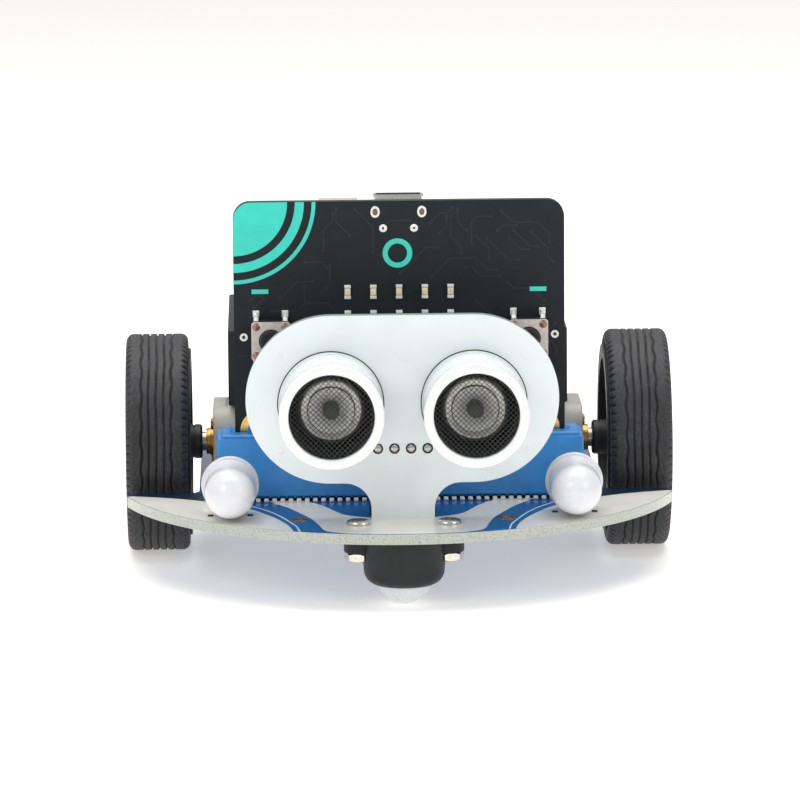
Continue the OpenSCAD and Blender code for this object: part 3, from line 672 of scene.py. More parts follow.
def make_plated_holes():
    """Gold rings and barrels of the two mounting holes, and black boxes beside each lamp painted as the shade
    of slots.
    """
    bm = bmesh.new()
    for x in (-MOUNT_X, MOUNT_X):
        place = Matrix.Translation((x, MOUNT_Y, 0))
        ring = [(1.04, BOARD_BOTTOM - 0.03), (1.6, BOARD_BOTTOM - 0.03), (1.6, BOARD_BOTTOM),
                (1.1, BOARD_BOTTOM),
                (1.1, BOARD_TOP), (1.6, BOARD_TOP), (1.6, BOARD_TOP + 0.04), (1.04, BOARD_TOP + 0.04)]
        add_lathe(bm, ring, 40, place, closed=True)
    piece("mounting_hole_plating", bm, MATERIAL["gold_plate"])
    lamp = middle("right_headlight")
    back = span("right_headlight")[1].y
    # Painted shade: black boxes on the board stand for the slots beside each lamp.
    bm = bmesh.new()
    for side in (-1, 1):
        for offset in (-3.05, 3.05):
            x = side * lamp.x + offset
            add_box(bm, (x - 0.45, back - 3.2, BOARD_TOP - 0.4), (x + 0.45, back - 1.6, BOARD_TOP + 0.03),
                    0.02, 1)
    piece("lamp_slot_shade", bm, MATERIAL["deep_black"], smooth=0)


def route(start, heading, legs, step):
    """A circuit trace: straight runs joined by 45-degree turns."""
    points = [start]
    angle = heading
    for _ in range(legs):
        length = step * random.choice((1, 2, 3))
        x, y = points[-1]
        points.append((x + length * math.cos(angle), y + length * math.sin(angle)))
        angle += random.choice((-1, 1)) * math.pi / 4
    return points


def cells_along(legs, cell):
    """Grid cells that a trace runs through."""
    cells = set()
    for (x0, y0), (x1, y1) in zip(legs, legs[1:]):
        steps = max(2, int(math.hypot(x1 - x0, y1 - y0) / (cell / 2)))
        for k in range(steps + 1):
            t = k / steps
            cells.add((round((x0 + (x1 - x0) * t) / cell), round((y0 + (y1 - y0) * t) / cell)))
    return cells


def make_traces(name, material, count, low, high, surface, thickness, width, to_world, keep=None):
    """A field of buried traces that never cross, with small via rings, on one face of a board."""
    bm = bmesh.new()
    taken = set()
    cell = width * 1.6
    for _ in range(count):
        start = (random.uniform(low[0], high[0]), random.uniform(low[1], high[1]))
        heading = random.choice(range(8)) * math.pi / 4
        legs = route(start, heading, random.choice((2, 3, 4)), random.uniform(0.9, 2.0))
        inside = all(low[0] < x < high[0] and low[1] < y < high[1] for x, y in legs)
        if not inside or (keep and not all(keep(x, y) for x, y in legs)):
            continue
        cells = cells_along(legs, cell)
        if cells & taken:
            continue
        taken |= {(i + di, j + dj) for i, j in cells for di in (-1, 0, 1) for dj in (-1, 0, 1)}
        add_prism(bm, strip(legs, width), surface, surface + thickness, to_world)
        for x, y in (legs[0], legs[-1]):
            add_prism(bm, ring_points(width * 1.25, 12, (x, y)), surface, surface + thickness * 1.5,
                      to_world)
    piece(name, bm, material, smooth=0)


def make_board_traces():
    tail = BOARD_HIGH.y
    half = 31.0

    def clear_of_corner(x, y):
        return abs(x) < half - 7 or y < tail - 8

    make_traces("board_traces_top", MATERIAL["board_trace"], 150, (-half, -6.0), (half, tail - 1),
                BOARD_TOP,
                0.02, 0.3, flat, clear_of_corner)
    make_traces("board_traces_under", MATERIAL["board_trace"], 300, (-30.5, -36.0), (30.5, tail - 2),
                BOARD_BOTTOM,
                -0.02, 0.32, flat,
                lambda x, y: clear_of_corner(x, y) and math.hypot(x,
                    y - BUMPER_CY) < BUMPER_R - 2 or y > 0 and clear_of_corner(x, y))


def make_small_parts():
    """Ceramic capacitors and resistors with tinned ends beside the chips."""
    ends, bodies = bmesh.new(), bmesh.new()
    spots = [(-29 + 2.2 * k, 31.5) for k in range(4)] + [(8 + 2.4 * k, -4.6) for k in range(5)]
    spots += [(-18 + 2.4 * k, -4.6) for k in range(5)] + [(28.2, 27 + 2.0 * k) for k in range(3)]
    for k, (x, y) in enumerate(spots):
        length, width, height = 1.6, 0.8, 0.45 + 0.1 * (k % 2)
        add_box(bodies, (x - length / 2 + 0.3, y - width / 2 + 0.02, BOARD_TOP),
                (x + length / 2 - 0.3, y + width / 2 - 0.02, BOARD_TOP + height - 0.02), 0.03, 1)
        for s in (-1, 1):
            inner, outer = s * (length / 2 - 0.32), s * length / 2
            add_box(ends, (x + min(inner, outer), y - width / 2, BOARD_TOP),
                    (x + max(inner, outer), y + width / 2, BOARD_TOP + height), 0.05, 2)
    piece("small_part_bodies", bodies, MATERIAL["amber_part"])
    piece("small_part_ends", ends, MATERIAL["tinned_metal"])


def chip(bm_body, bm_legs, low, high, up, pins, body_lift=0.12):
    """A moulded package standing off along the axis up (1 or 2 with sign), with gull-wing legs."""
    axis = abs(up)
    sign = 1 if up > 0 else -1
    low, high = Vector(low), Vector(high)
    base = low[axis] if sign > 0 else high[axis]
    if sign > 0:
        low[axis] = base + body_lift
    else:
        high[axis] = base - body_lift
    along, across = [k for k in range(3) if k != axis]
    inset = min(0.55, (high[across] - low[across]) * 0.16)
    body_low, body_high = low.copy(), high.copy()
    body_low[across] += inset
    body_high[across] -= inset
    add_box(bm_body, body_low, body_high, 0.08, 2)
    length = high[along] - low[along]
    mid = (low[axis] + high[axis]) / 2
    for side in (-1, 1):
        edge = body_low[across] if side < 0 else body_high[across]
        tip = edge + side * inset
        for k in range(pins):
            at = low[along] + length * (k + 0.5) / pins
            path = []
            for reach, height in ((edge - side * 0.1, mid), (edge + side * inset * 0.4, mid),
                                  (edge + side * inset * 0.55, base + sign * 0.08),
                                  (tip, base + sign * 0.08)):
                p = Vector((0, 0, 0))
                p[along], p[across], p[axis] = at, reach, height
                path.append(p)
            add_tube(bm_legs, path, 0.08, 6)


def make_board_chips():
    bodies, legs = bmesh.new(), bmesh.new()
    axle_y = middle("left_tyre").y
    chip(bodies, legs, (-3, axle_y + 12, BOARD_TOP), (3.4, axle_y + 17, BOARD_TOP + 1.2), 2, 8)
    for side in (-1, 1):
        x0, x1 = sorted((side * 11, side * 15.9))
        chip(bodies, legs, (x0, axle_y + 12.5, BOARD_TOP), (x1, axle_y + 16.4, BOARD_TOP + 1.2), 2, 4)
        for k in range(5):
            x = side * (19.5 + 1.9 * k)
            add_box(bodies, (x - 0.5, axle_y + 14.2, BOARD_TOP), (x + 0.5, axle_y + 15.8, BOARD_TOP + 0.5),
                    0.05, 1)
        for k in range(3):
            x = side * (6.8 + 3.2 * k)
            add_box(bodies, (x - 0.8, axle_y - 13.6, BOARD_TOP), (x + 0.8, axle_y - 12.6, BOARD_TOP + 0.5),
                    0.05, 1)
    bm_body = piece("board_chip_bodies", bodies, MATERIAL["chip_black"],
                    replaces=["board_chips"])
    piece("board_chip_legs", legs, MATERIAL["tinned_metal"])
    return bm_body


# ---------------------------------------------------------------- sensor board

EYE_X = 10.95
EYE_Z = middle("transducer_cans").z
MASK_FRONT = span("sensor_board")[0].y
MASK_BACK = span("sensor_board")[1].y
CAN_R = (span("transducer_cans")[1].z - span("transducer_cans")[0].z) / 2
CAN_FRONT = span("transducer_cans")[0].y
WINDOW_R = CAN_R - 1.5
SOLDER_Z = span("sensor_pins")[1].z - 0.85
PIN_XS = [(k - 1.5) * 2.54 for k in range(4)]
HORN_RIM = 5.8


def make_cans():
    """Transducer cans: rolled front lip, recessed window, foot ring against the mask."""
    bm = bmesh.new()
    depth = MASK_FRONT - CAN_FRONT
    for x in (-EYE_X, EYE_X):
        place = facing_front(x, MASK_FRONT, EYE_Z)
        outer = [(CAN_R - 0.35, 0.0), (CAN_R, 0.0), (CAN_R, 0.45), (CAN_R - 0.12, 0.6),
                 (CAN_R - 0.12, depth - 1.5),
                 (CAN_R, depth - 1.32), (CAN_R, depth), (WINDOW_R + 0.1, depth), (WINDOW_R, depth - 0.25),
                 (WINDOW_R, 0.4), (CAN_R - 0.35, 0.4)]
        add_lathe(bm, rounded(outer, 0.28, 3), 96, place, closed=True)
    piece("transducer_shells", bm, MATERIAL["can_white"], replaces=["transducer_cans"])
    bm = bmesh.new()
    for x in (-EYE_X, EYE_X):
        place = facing_front(x, MASK_FRONT, EYE_Z)
        # The inner dark green ring is painted shadow of the gap round the can; the outer ring is the white
        # hole edge.
        add_annulus(bm, CAN_R + 0.02, CAN_R + 0.2, -0.02, 0.02, place, 96)
        add_annulus(bm, CAN_R + 0.2, CAN_R + 0.4, 0.0, 0.07, place, 96)
    ring = piece("mask_hole_rings", bm, MATERIAL["green_gap"], smooth=30)
    ring.data.materials.append(MATERIAL["white_board"])
    for polygon in ring.data.polygons:
        centre = polygon.center / MM
        reach = min(math.hypot(centre.x - s * EYE_X, centre.z - EYE_Z) for s in (-1, 1))
        polygon.material_index = 1 if reach > CAN_R + 0.21 else 0


def make_window_lining():
    """Painted shade inside each can: a black sleeve along the wall and a black floor behind the horn."""
    bm = bmesh.new()
    depth = MASK_FRONT - CAN_FRONT
    for x in (-EYE_X, EYE_X):
        place = facing_front(x, MASK_FRONT, EYE_Z)
        lining = [(0, 0.5), (WINDOW_R - 0.06, 0.5), (WINDOW_R - 0.06, depth - 1.0),
                  (WINDOW_R - 0.3, depth - 1.0),
                  (WINDOW_R - 0.3, 0.8), (0, 0.8)]
        add_lathe(bm, lining, 64, place)
    piece("transducer_shade_linings", bm, MATERIAL["deep_black"])


def make_horns():
    """Horn deep in the can: a paler cone inside a grey skirt, with a small dark boss at its centre painted as
    the shade there.
    """
    horn, skirt, boss = bmesh.new(), bmesh.new(), bmesh.new()
    front = HORN_RIM
    for x in (-EYE_X, EYE_X):
        place = facing_front(x, MASK_FRONT, EYE_Z)
        cone = [(0.9, front - 1.9), (1.8, front - 1.3), (2.8, front - 0.5), (3.5, front),
                (3.6, front - 0.25),
                (2.8, front - 0.9), (1.8, front - 1.7), (0.9, front - 2.3)]
        add_lathe(horn, rounded(cone, 0.25, 2), 72, place, closed=True)
        ring = [(3.62, front - 0.35), (4.4, front - 0.1), (5.1, front - 0.3), (5.2, front - 0.6),
                (4.4, front - 0.5),
                (3.62, front - 0.7)]
        add_lathe(skirt, rounded(ring, 0.2, 2), 72, place, closed=True)
        # The boss's dark colour is painted shade of the hollow at the horn's centre.
        stud = [(1.25, front - 1.8), (1.25, front + 0.9), (1.0, front + 1.3), (0.4, front + 1.5),
                (0, front + 1.5)]
        add_lathe(boss, stud, 48, place)
    piece("transducer_horns", horn, MATERIAL["cone_silver"],
          replaces=["transducer_cones"])
    piece("horn_skirts", skirt, MATERIAL["motor_steel"])
    piece("horn_shade_bosses", boss, MATERIAL["rim_plastic"])


def make_wire_meshes():
    """Woven wire: two families of crossing wires at 45 degrees that pass over and under."""
    bm = bmesh.new()
    pitch, wire_r, wave = 0.56, 0.052, 0.055
    y = middle("transducer_meshes").y
    radius = WINDOW_R - 0.04
    count = int(radius / pitch)
    for x in (-EYE_X, EYE_X):
        for family in (-1, 1):
            for k in range(-count, count + 1):
                offset = k * pitch
                half = math.sqrt(max(radius ** 2 - offset ** 2, 0.04))
                steps = max(4, int(half * 2 / pitch * 2))
                path = []
                for s in range(steps + 1):
                    t = -half + 2 * half * s / steps
                    lift = family * wave * math.cos(math.pi * t / pitch + math.pi * k)
                    u = (t - family * offset) / math.sqrt(2)
                    v = (family * t + offset) / math.sqrt(2)
                    path.append((x + u, y + lift, EYE_Z + v))
                add_tube(bm, path, wire_r, 5, closed_ends=False)
    piece("transducer_wire_meshes", bm, MATERIAL["mesh_wire"], smooth=80,
          replaces=["transducer_meshes"])


def make_mask_details():
    """Solder domes on the mask, four small moulded dimples and faint buried traces."""
    domes, rings = bmesh.new(), bmesh.new()
    for x in PIN_XS:
        place = facing_front(x, MASK_FRONT, SOLDER_Z)
        add_lathe(domes, [(0.6, 0.03), (0.56, 0.1), (0.42, 0.19), (0.2, 0.24), (0, 0.25)], 28, place)
        add_annulus(rings, 0.5, 0.82, 0, 0.05, place, 32)
    piece("mask_solder_domes", domes, MATERIAL["solder"])
    piece("mask_pin_rings", rings, MATERIAL["chip_black"])
    dimples = bmesh.new()
    for x, z in ((-18.7, 37.6), (18.7, 37.6), (-18.7, 23.0), (18.7, 23.0)):
        place = facing_front(x, MASK_FRONT, z)
        add_lathe(dimples, [(0.6, 0.0), (0.56, 0.03), (0.4, 0.05), (0.28, 0.03), (0, 0.01)], 24, place)
    piece("mask_filled_vias", dimples, MATERIAL["can_white"])

    def on_mask(x, z):
        return min(math.hypot(x - s * EYE_X, z - EYE_Z) for s in (-1, 1)) > CAN_R + 1.2

    make_traces("mask_traces_back", MATERIAL["mask_trace"], 120, (-20.0, 19.5), (20.0, 42.0), MASK_BACK,
                0.02, 0.3, upright, None)
    make_traces("mask_traces_front", MATERIAL["mask_trace"], 40, (-18.0, 20.5), (18.0, 41.5), MASK_FRONT,
                -0.008, 0.3, upright, on_mask)


def make_sensor_back():
    """Timing chips, a crystal and small parts on the back of the sensor board."""
    bodies, legs, metal = bmesh.new(), bmesh.new(), bmesh.new()
    for x in (-9.0, 6.0):
        chip(bodies, legs, (x - 2.6, MASK_BACK, 27.0), (x + 2.6, MASK_BACK + 1.4, 33.0), 1, 7)
    chip(bodies, legs, (-2.6, MASK_BACK, 33.5), (2.0, MASK_BACK + 1.3, 38.0), 1, 7)
    add_box(metal, (12.6, MASK_BACK, 27.0), (16.0, MASK_BACK + 1.2, 32.0), 0.5, 4)
    for k in range(6):
        add_box(metal, (-15 + 2.3 * k, MASK_BACK, 21.6), (-14.2 + 2.3 * k, MASK_BACK + 0.5, 23.2), 0.06, 1)
        add_box(bodies, (-15 + 2.3 * k, MASK_BACK, 36.0), (-14.2 + 2.3 * k, MASK_BACK + 0.5, 37.6), 0.06, 1)
    for x in PIN_XS:
        place = facing_back(x, MASK_BACK, SOLDER_Z)
        add_lathe(metal, [(0.9, 0.0), (0.8, 0.1), (0.5, 0.3), (0.36, 0.5)], 24, place)
    for x in (-EYE_X, EYE_X):
        for dz in (-5.0, 5.0):
            place = facing_back(x, MASK_BACK, EYE_Z + dz)
            add_lathe(metal, [(1.1, 0.0), (0.95, 0.2), (0.6, 0.5), (0.3, 0.8), (0, 0.85)], 28, place)
    piece("sensor_back_chips", bodies, MATERIAL["chip_black"])
    piece("sensor_back_legs", legs, MATERIAL["tinned_metal"])
    piece("sensor_back_metal", metal, MATERIAL["solder"])


# ---------------------------------------------------------------- shared small hardware

def join_rings(bm, rings, closed=False):
    """Skins between rings that have the same number of points."""
    made = [[bm.verts.new(p) for p in ring] for ring in rings]
    pairs = list(zip(made, made[1:]))
    if closed:
        pairs.append((made[-1], made[0]))
    count = len(made[0])
    for a, b in pairs:
        for k in range(count):
            n = (k + 1) % count
            bm.faces.new((a[k], a[n], b[n], b[k]))
    return made


def stamp(bm, source, place):
    """Adds a copy of another bmesh, moved to a place."""
    copies = {v: bm.verts.new(place @ v.co) for v in source.verts}
    for face in source.faces:
        bm.faces.new([copies[v] for v in face.verts])


def soften(bm, offset, segments=2, sharper=40):
    """Rounds every edge sharper than an angle."""
    limit = math.radians(sharper)
    edges = [e for e in bm.edges if len(e.link_faces) == 2 and e.calc_face_angle() > limit]
    bmesh.ops.bevel(bm, geom=edges, offset=offset, segments=segments, affect="EDGES", profile=0.5,
                    clamp_overlap=True)


def screw_head(radius, height, slot_reach=1.15, slot_half=0.24, depth=0.42):
    """A low pan head with a cross recess, standing on z = 0."""
    bm = bmesh.new()
    profile = [(0, 0), (radius * 0.95, 0), (radius, 0.08), (radius, height * 0.42),
               (radius * 0.95, height * 0.68),
               (radius * 0.8, height * 0.87), (radius * 0.5, height * 0.98), (0, height)]
    add_lathe(bm, profile, 40)
    for normal in ((1, 0, 0), (0, 1, 0)):
        for at in (-slot_reach, -slot_half, slot_half, slot_reach):
            everything = bm.verts[:] + bm.edges[:] + bm.faces[:]
            bmesh.ops.bisect_plane(bm, geom=everything, plane_co=Vector(normal) * at, plane_no=normal)

    def in_cross(face):
        x, y, z = (abs(c) for c in face.calc_center_median())
        return z > height * 0.7 and (min(x, y) < slot_half and max(x, y) < slot_reach)

    cut = [f for f in bm.faces if in_cross(f)]
    made = bmesh.ops.extrude_face_region(bm, geom=cut)["geom"]
    lowered = [g for g in made if isinstance(g, bmesh.types.BMVert)]
    for v in lowered:
        v.co.z = height - depth
    bmesh.ops.delete(bm, geom=[f for f in cut if f.is_valid], context="FACES_ONLY")
    return bm


def hex_nut(across, height, bore):
    """A chamfered hexagon nut hanging from z = 0."""
    bm = bmesh.new()
    apothem = across / 2
    flat_r = apothem * 1.02
    turns = [2 * math.pi * k / 72 for k in range(72)]

    def ring(radius_at, z_at):
        return [(radius_at(a) * math.cos(a), radius_at(a) * math.sin(a), z_at(a)) for a in turns]

    def hexagon(a):
        return apothem / math.cos(a % (math.pi / 3) - math.pi / 6)

    def chamfer(a):
        return max(0.02, (hexagon(a) - flat_r) * 0.6)

    join_rings(bm, [
        ring(lambda a: bore, lambda a: -0.1), ring(lambda a: bore + 0.12, lambda a: 0.0),
        ring(lambda a: min(flat_r, hexagon(a)), lambda a: 0.0), ring(hexagon, lambda a: -chamfer(a)),
        ring(hexagon, lambda a: chamfer(a) - height),
        ring(lambda a: min(flat_r, hexagon(a)), lambda a: -height),
        ring(lambda a: bore + 0.12, lambda a: -height), ring(lambda a: bore, lambda a: 0.1 - height)],
        closed=True)
    return bm


SCREW_R = 0.95
CASTER = middle("caster_ball")
NUT_H = 1.15
EAR_T = BOARD_BOTTOM - span("board_nuts")[0].z - NUT_H
CASTER_SCREW_X = 6.9
BRACKET_FOOT = 3.0


def thread(bm, x, y, top, bottom):
    """A screw shank with turned thread ridges."""
    pitch = 0.4
    profile = [(0, top)]
    z = top
    while z > bottom + pitch:
        profile += [(SCREW_R - 0.16, z), (SCREW_R - 0.02, z - pitch / 2)]
        z -= pitch
    profile += [(SCREW_R - 0.16, z), (SCREW_R - 0.35, bottom), (0, bottom)]
    add_lathe(bm, profile, 20, Matrix.Translation((x, y, 0)))


def make_fasteners():
    """Screws with cross recesses and chamfered nuts: the caster's pair and two for each motor bracket."""
    heads, nuts = bmesh.new(), bmesh.new()
    head = screw_head(1.9, 0.75)
    nut = hex_nut(4.0, NUT_H, SCREW_R)
    axle_y = middle("left_tyre").y
    bracket_x = span("right_motor_bracket")[1].x - 4.4
    for side in (-1, 1):
        spots = [(side * CASTER_SCREW_X, CASTER.y, BOARD_TOP, BOARD_BOTTOM - EAR_T)]
        spots += [(side * bracket_x, axle_y + s * 9.2, BOARD_TOP + BRACKET_FOOT, BOARD_BOTTOM) for s in (-1,
            1)]
        for k, (x, y, top, under) in enumerate(spots):
            turn = Matrix.Rotation(0.5 + 0.9 * k + side, 4, "Z")
            stamp(heads, head, Matrix.Translation((x, y, top)) @ turn)
            thread(heads, x, y, top - 0.05, under - NUT_H - 0.38)
            stamp(nuts, nut, Matrix.Translation((x, y, under)) @ Matrix.Rotation(0.2 * side + 0.35 * k, 4,
                "Z"))
    head.free()
    nut.free()
    piece("screws", heads, MATERIAL["fastener_steel"], replaces=["board_screws"])
    piece("nuts", nuts, MATERIAL["fastener_steel"], replaces=["board_nuts"])


# ---------------------------------------------------------------- caster and lamps

def make_caster():
    """Black cup with a rounded mouth and two ears, and the ball with its faint moulding seam."""
    bm = bmesh.new()
    place = Matrix.Translation((CASTER.x, CASTER.y, 0))
    ball_r = CASTER.z
    lip_z, cup_r, top_r, round_r = 3.0, 6.2, 6.6, 2.2
    hollow_r = ball_r + 0.08
    mouth = math.asin((ball_r - lip_z - 0.1) / hollow_r)
    inside = [(hollow_r * math.cos(a), ball_r + hollow_r * math.sin(a))
              for a in (-mouth + (math.pi / 2 + mouth) * k / 14 for k in range(15))]
    curve = [(cup_r - round_r + round_r * math.cos(a), lip_z + round_r + round_r * math.sin(a))
             for a in (-math.pi / 2 * (1 - k / 8) for k in range(9))
             if cup_r - round_r + round_r * math.cos(a) > 4.5]
    outside = curve + [(top_r - 0.02, BOARD_BOTTOM - 0.3), (top_r, BOARD_BOTTOM), (0, BOARD_BOTTOM)]
    add_lathe(bm, inside[::-1] + outside, 72, place)
    ear_r, ear_root, bevel = 2.3, 5.2, 0.22
    ear_low = BOARD_BOTTOM - EAR_T
    layers = [(ear_low, ear_r - bevel), (ear_low + bevel, ear_r), (BOARD_BOTTOM, ear_r)]
    for side in (1, -1):
        outline = ring_points(ear_r, 14, (side * CASTER_SCREW_X, 0), -side * math.pi / 2, math.pi)
        outline += [(side * ear_root, side * ear_r), (side * ear_root, -side * ear_r)]
        rings = [[place @ Vector((x + (r - ear_r) * side, y * r / ear_r, z)) for x, y in outline] for z,
                 r in layers]
        made = join_rings(bm, rings)
        bm.faces.new(made[0])
        bm.faces.new(made[-1])
    piece("caster_cup", bm, MATERIAL["black_plastic"], replaces=["caster_housing"])
    bm = bmesh.new()
    steps = 40
    profile = []
    for k in range(steps + 1):
        a = -math.pi / 2 + math.pi * k / steps
        seam = 0.012 if k == steps // 2 else 0.0
        profile.append(((ball_r - seam) * math.cos(a), (ball_r - seam) * math.sin(a)))
    tilt = Matrix.Translation(CASTER) @ Matrix.Rotation(0.9, 4, "Y") @ Matrix.Rotation(0.5, 4, "X")
    add_lathe(bm, profile, 72, tilt)
    piece("rolling_ball", bm, MATERIAL["ball_white"], body="caster_ball", smooth=60,
          replaces=["caster_ball"])


def make_headlight(name):
    """Milky lamp on its side: flange with a flat step, body and dome."""
    low, high = span(name)
    x = (low.x + high.x) / 2
    z = high.z - (high.x - low.x) / 2
    flange_r = (high.x - low.x) / 2
    back, front = high.y, low.y
    radius = 3.9
    straight = back - front - radius
    dome = [(radius * math.cos(a), straight + radius * math.sin(a))
            for a in (math.pi / 2 * k / 16 for k in range(17))]
    profile = [(0, 0), (flange_r - 0.16, 0), (flange_r, 0.14), (flange_r, 0.8), (flange_r - 0.14, 0.96),
               (radius + 0.22, 1.0), (radius + 0.06, 1.1), (radius, 1.3), (radius, 3.2),
               (radius + 0.05, 3.3),
               (radius, 3.4)] + dome
    bm = bmesh.new()
    add_lathe(bm, profile, 72, facing_front(x, back, z))
    piece(name + "_lens", bm, MATERIAL["lamp_diffuser"], smooth=50, replaces=[name])


def make_headlight_leads():
    """Four bent leads behind each lamp with solder under the board."""
    leads, joints = bmesh.new(), bmesh.new()
    low = span("headlight_leads")[0]
    lamp = middle("right_headlight")
    back = span("right_headlight")[1].y
    height = span("right_headlight")[1].z - 4.45
    run = 1.4
    for side in (-1, 1):
        for k in range(4):
            x = side * lamp.x + (k - 1.5) * 1.27
            bend = [(x, back, height), (x, back + run - 0.5, height)]
            bend += [(x, back + run - 0.5 + 0.5 * math.sin(a), height - 0.5 + 0.5 * math.cos(a))
                     for a in (math.pi / 2 * s / 4 for s in range(1, 5))]
            bend.append((x, back + run, low.z))
            add_tube(leads, bend, 0.26, 8)
            spot = Matrix.Translation((x, back + run, BOARD_BOTTOM))
            add_lathe(joints, [(0.62, 0), (0.5, -0.12), (0.34, -0.4), (0.26, -0.6)], 16, spot)
            add_lathe(joints, [(0.58, BOARD_TOP - BOARD_BOTTOM), (0.5, BOARD_TOP - BOARD_BOTTOM + 0.1),
                               (0.27, BOARD_TOP - BOARD_BOTTOM + 0.25)], 16, spot)
    piece("lamp_leads", leads, MATERIAL["tinned_metal"], replaces=["headlight_leads"])
    piece("lamp_solder", joints, MATERIAL["solder"])


# ---------------------------------------------------------------- wheels

AXLE = Vector((0, middle("left_tyre").y, middle("left_tyre").z))
TYRE_R = AXLE.z
TYRE_W = 9.8
TYRE_IN = span("right_tyre")[0].x
RIM_R = 14.1


def groove(distance, half_width, depth):
    """Depth of a soft-edged groove at a distance from its centre line."""
    t = min(1.0, abs(distance) / half_width)
    return depth * (1 - t * t * (3 - 2 * t))


def wrap(value, period):
    """Distance to the nearest whole multiple of a period."""
    return (value + period / 2) % period - period / 2


def tread_depth(across, along, lap):
    """How deep the tread is cut: straight grooves, short branching sipes and shoulder notches."""
    wave = lap / 24
    sway = 0.07 * math.sin(2 * math.pi * along / (3 * wave))
    depth = max(groove(across - centre - sway, 0.22, 0.4) for centre in (-1.2, 0.0, 1.2))
    reach = abs(across)
    zigzag = 0.12 * math.sin(2 * math.pi * along / wave)
    depth = max(depth, groove(reach - 2.35 - zigzag, 0.24, 0.42))
    if 1.25 < reach < 2.3:
        depth = max(depth, groove(wrap(along + 2.2 * reach, wave), 0.15, 0.12))
    if 2.4 < reach < 4.2:
        depth = max(depth, groove(wrap(along - 2.6 * reach, wave / 2), 0.16, 0.13))
    if reach > 3.9:
        depth = max(depth, min(1.0, (reach - 3.9) / 0.4) * groove(wrap(along, lap / 80), 0.3, 0.36))
    return depth


def tyre_stations():
    """Points across the tyre from the inner bead round the tread to the outer bead: (across, radius, cut)."""
    half = TYRE_W / 2
    shoulder = 1.2
    flat_half = half - shoulder
    side_wall = [(4.2, RIM_R + 0.04), (4.5, 14.2), (4.72, 14.5), (4.72, 14.85), (4.84, 14.95),
                 (4.84, 15.25),
                 (4.74, 15.35), (4.74, 15.55), (half - 0.02, 15.7)]
    tread = [(-flat_half + 2 * flat_half * k / 62, TYRE_R, 1.0) for k in range(63)]
    corner = []
    for k in range(1, 10):
        a = math.pi / 2 * k / 10
        corner.append((flat_half + shoulder * math.sin(a), TYRE_R - shoulder + shoulder * math.cos(a),
                       1.0 if k < 8 else 0.5))
    wall = [(a, r, 0.0) for a, r in side_wall]
    inner_side = [(-a, r, c) for a, r, c in wall + corner[::-1]]
    return inner_side + tread + corner + wall[::-1]


def make_tyre(side_name, side):
    bm = bmesh.new()
    around = 720
    lap = 2 * math.pi * TYRE_R
    centre_x = side * (TYRE_IN + TYRE_W / 2)
    rings = []
    for across, radius, cut in tyre_stations():
        ring = []
        for k in range(around):
            turn = 2 * math.pi * k / around
            r = radius - cut * tread_depth(across, lap * k / around, lap)
            ring.append((centre_x + side * across, AXLE.y + r * math.cos(turn),
                         AXLE.z + r * math.sin(turn)))
        rings.append(ring)
    join_rings(bm, rings, closed=True)
    piece(side_name + "_tyre_tread", bm, MATERIAL["tyre_rubber"], body=side_name + "_wheel_set",
          smooth=55, replaces=[side_name + "_tyre"])


def plate_with_holes(bm, outer, holes, low, high, to_world):
    """A flat plate: an outline with round holes (x, y, radius), between two heights."""
    points = [Vector(p) for p in outer]
    edges = [(k, (k + 1) % len(outer)) for k in range(len(outer))]
    for x, y, r in holes:
        start = len(points)
        circle = ring_points(r, 28, (x, y))
        points += [Vector(p) for p in circle]
        edges += [(start + k, start + (k + 1) % len(circle)) for k in range(len(circle))]
    coords, _, faces, _, _, _ = geometry.delaunay_2d_cdt(points, edges, [], 1, 1e-5)

    def in_hole(face):
        c = sum((coords[i] for i in face), Vector((0, 0))) / len(face)
        return any(math.hypot(c.x - x, c.y - y) < r * 0.999 for x, y, r in holes)

    faces = [f for f in faces if not in_hole(f)]
    levels = [[bm.verts.new(to_world(c.x, c.y, h)) for c in coords] for h in (low, high)]
    border = {}
    for face in faces:
        bm.faces.new([levels[0][i] for i in face][::-1])
        bm.faces.new([levels[1][i] for i in face])
        for k in range(len(face)):
            a, b = face[k], face[(k + 1) % len(face)]
            border[(a, b)] = (b, a) not in border
            if not border[(a, b)]:
                border[(b, a)] = False
    for (a, b), single in border.items():
        if single:
            bm.faces.new((levels[0][a], levels[0][b], levels[1][b], levels[1][a]))
    bmesh.ops.delete(bm, geom=[v for level in levels for v in level if not v.link_faces], context="VERTS")


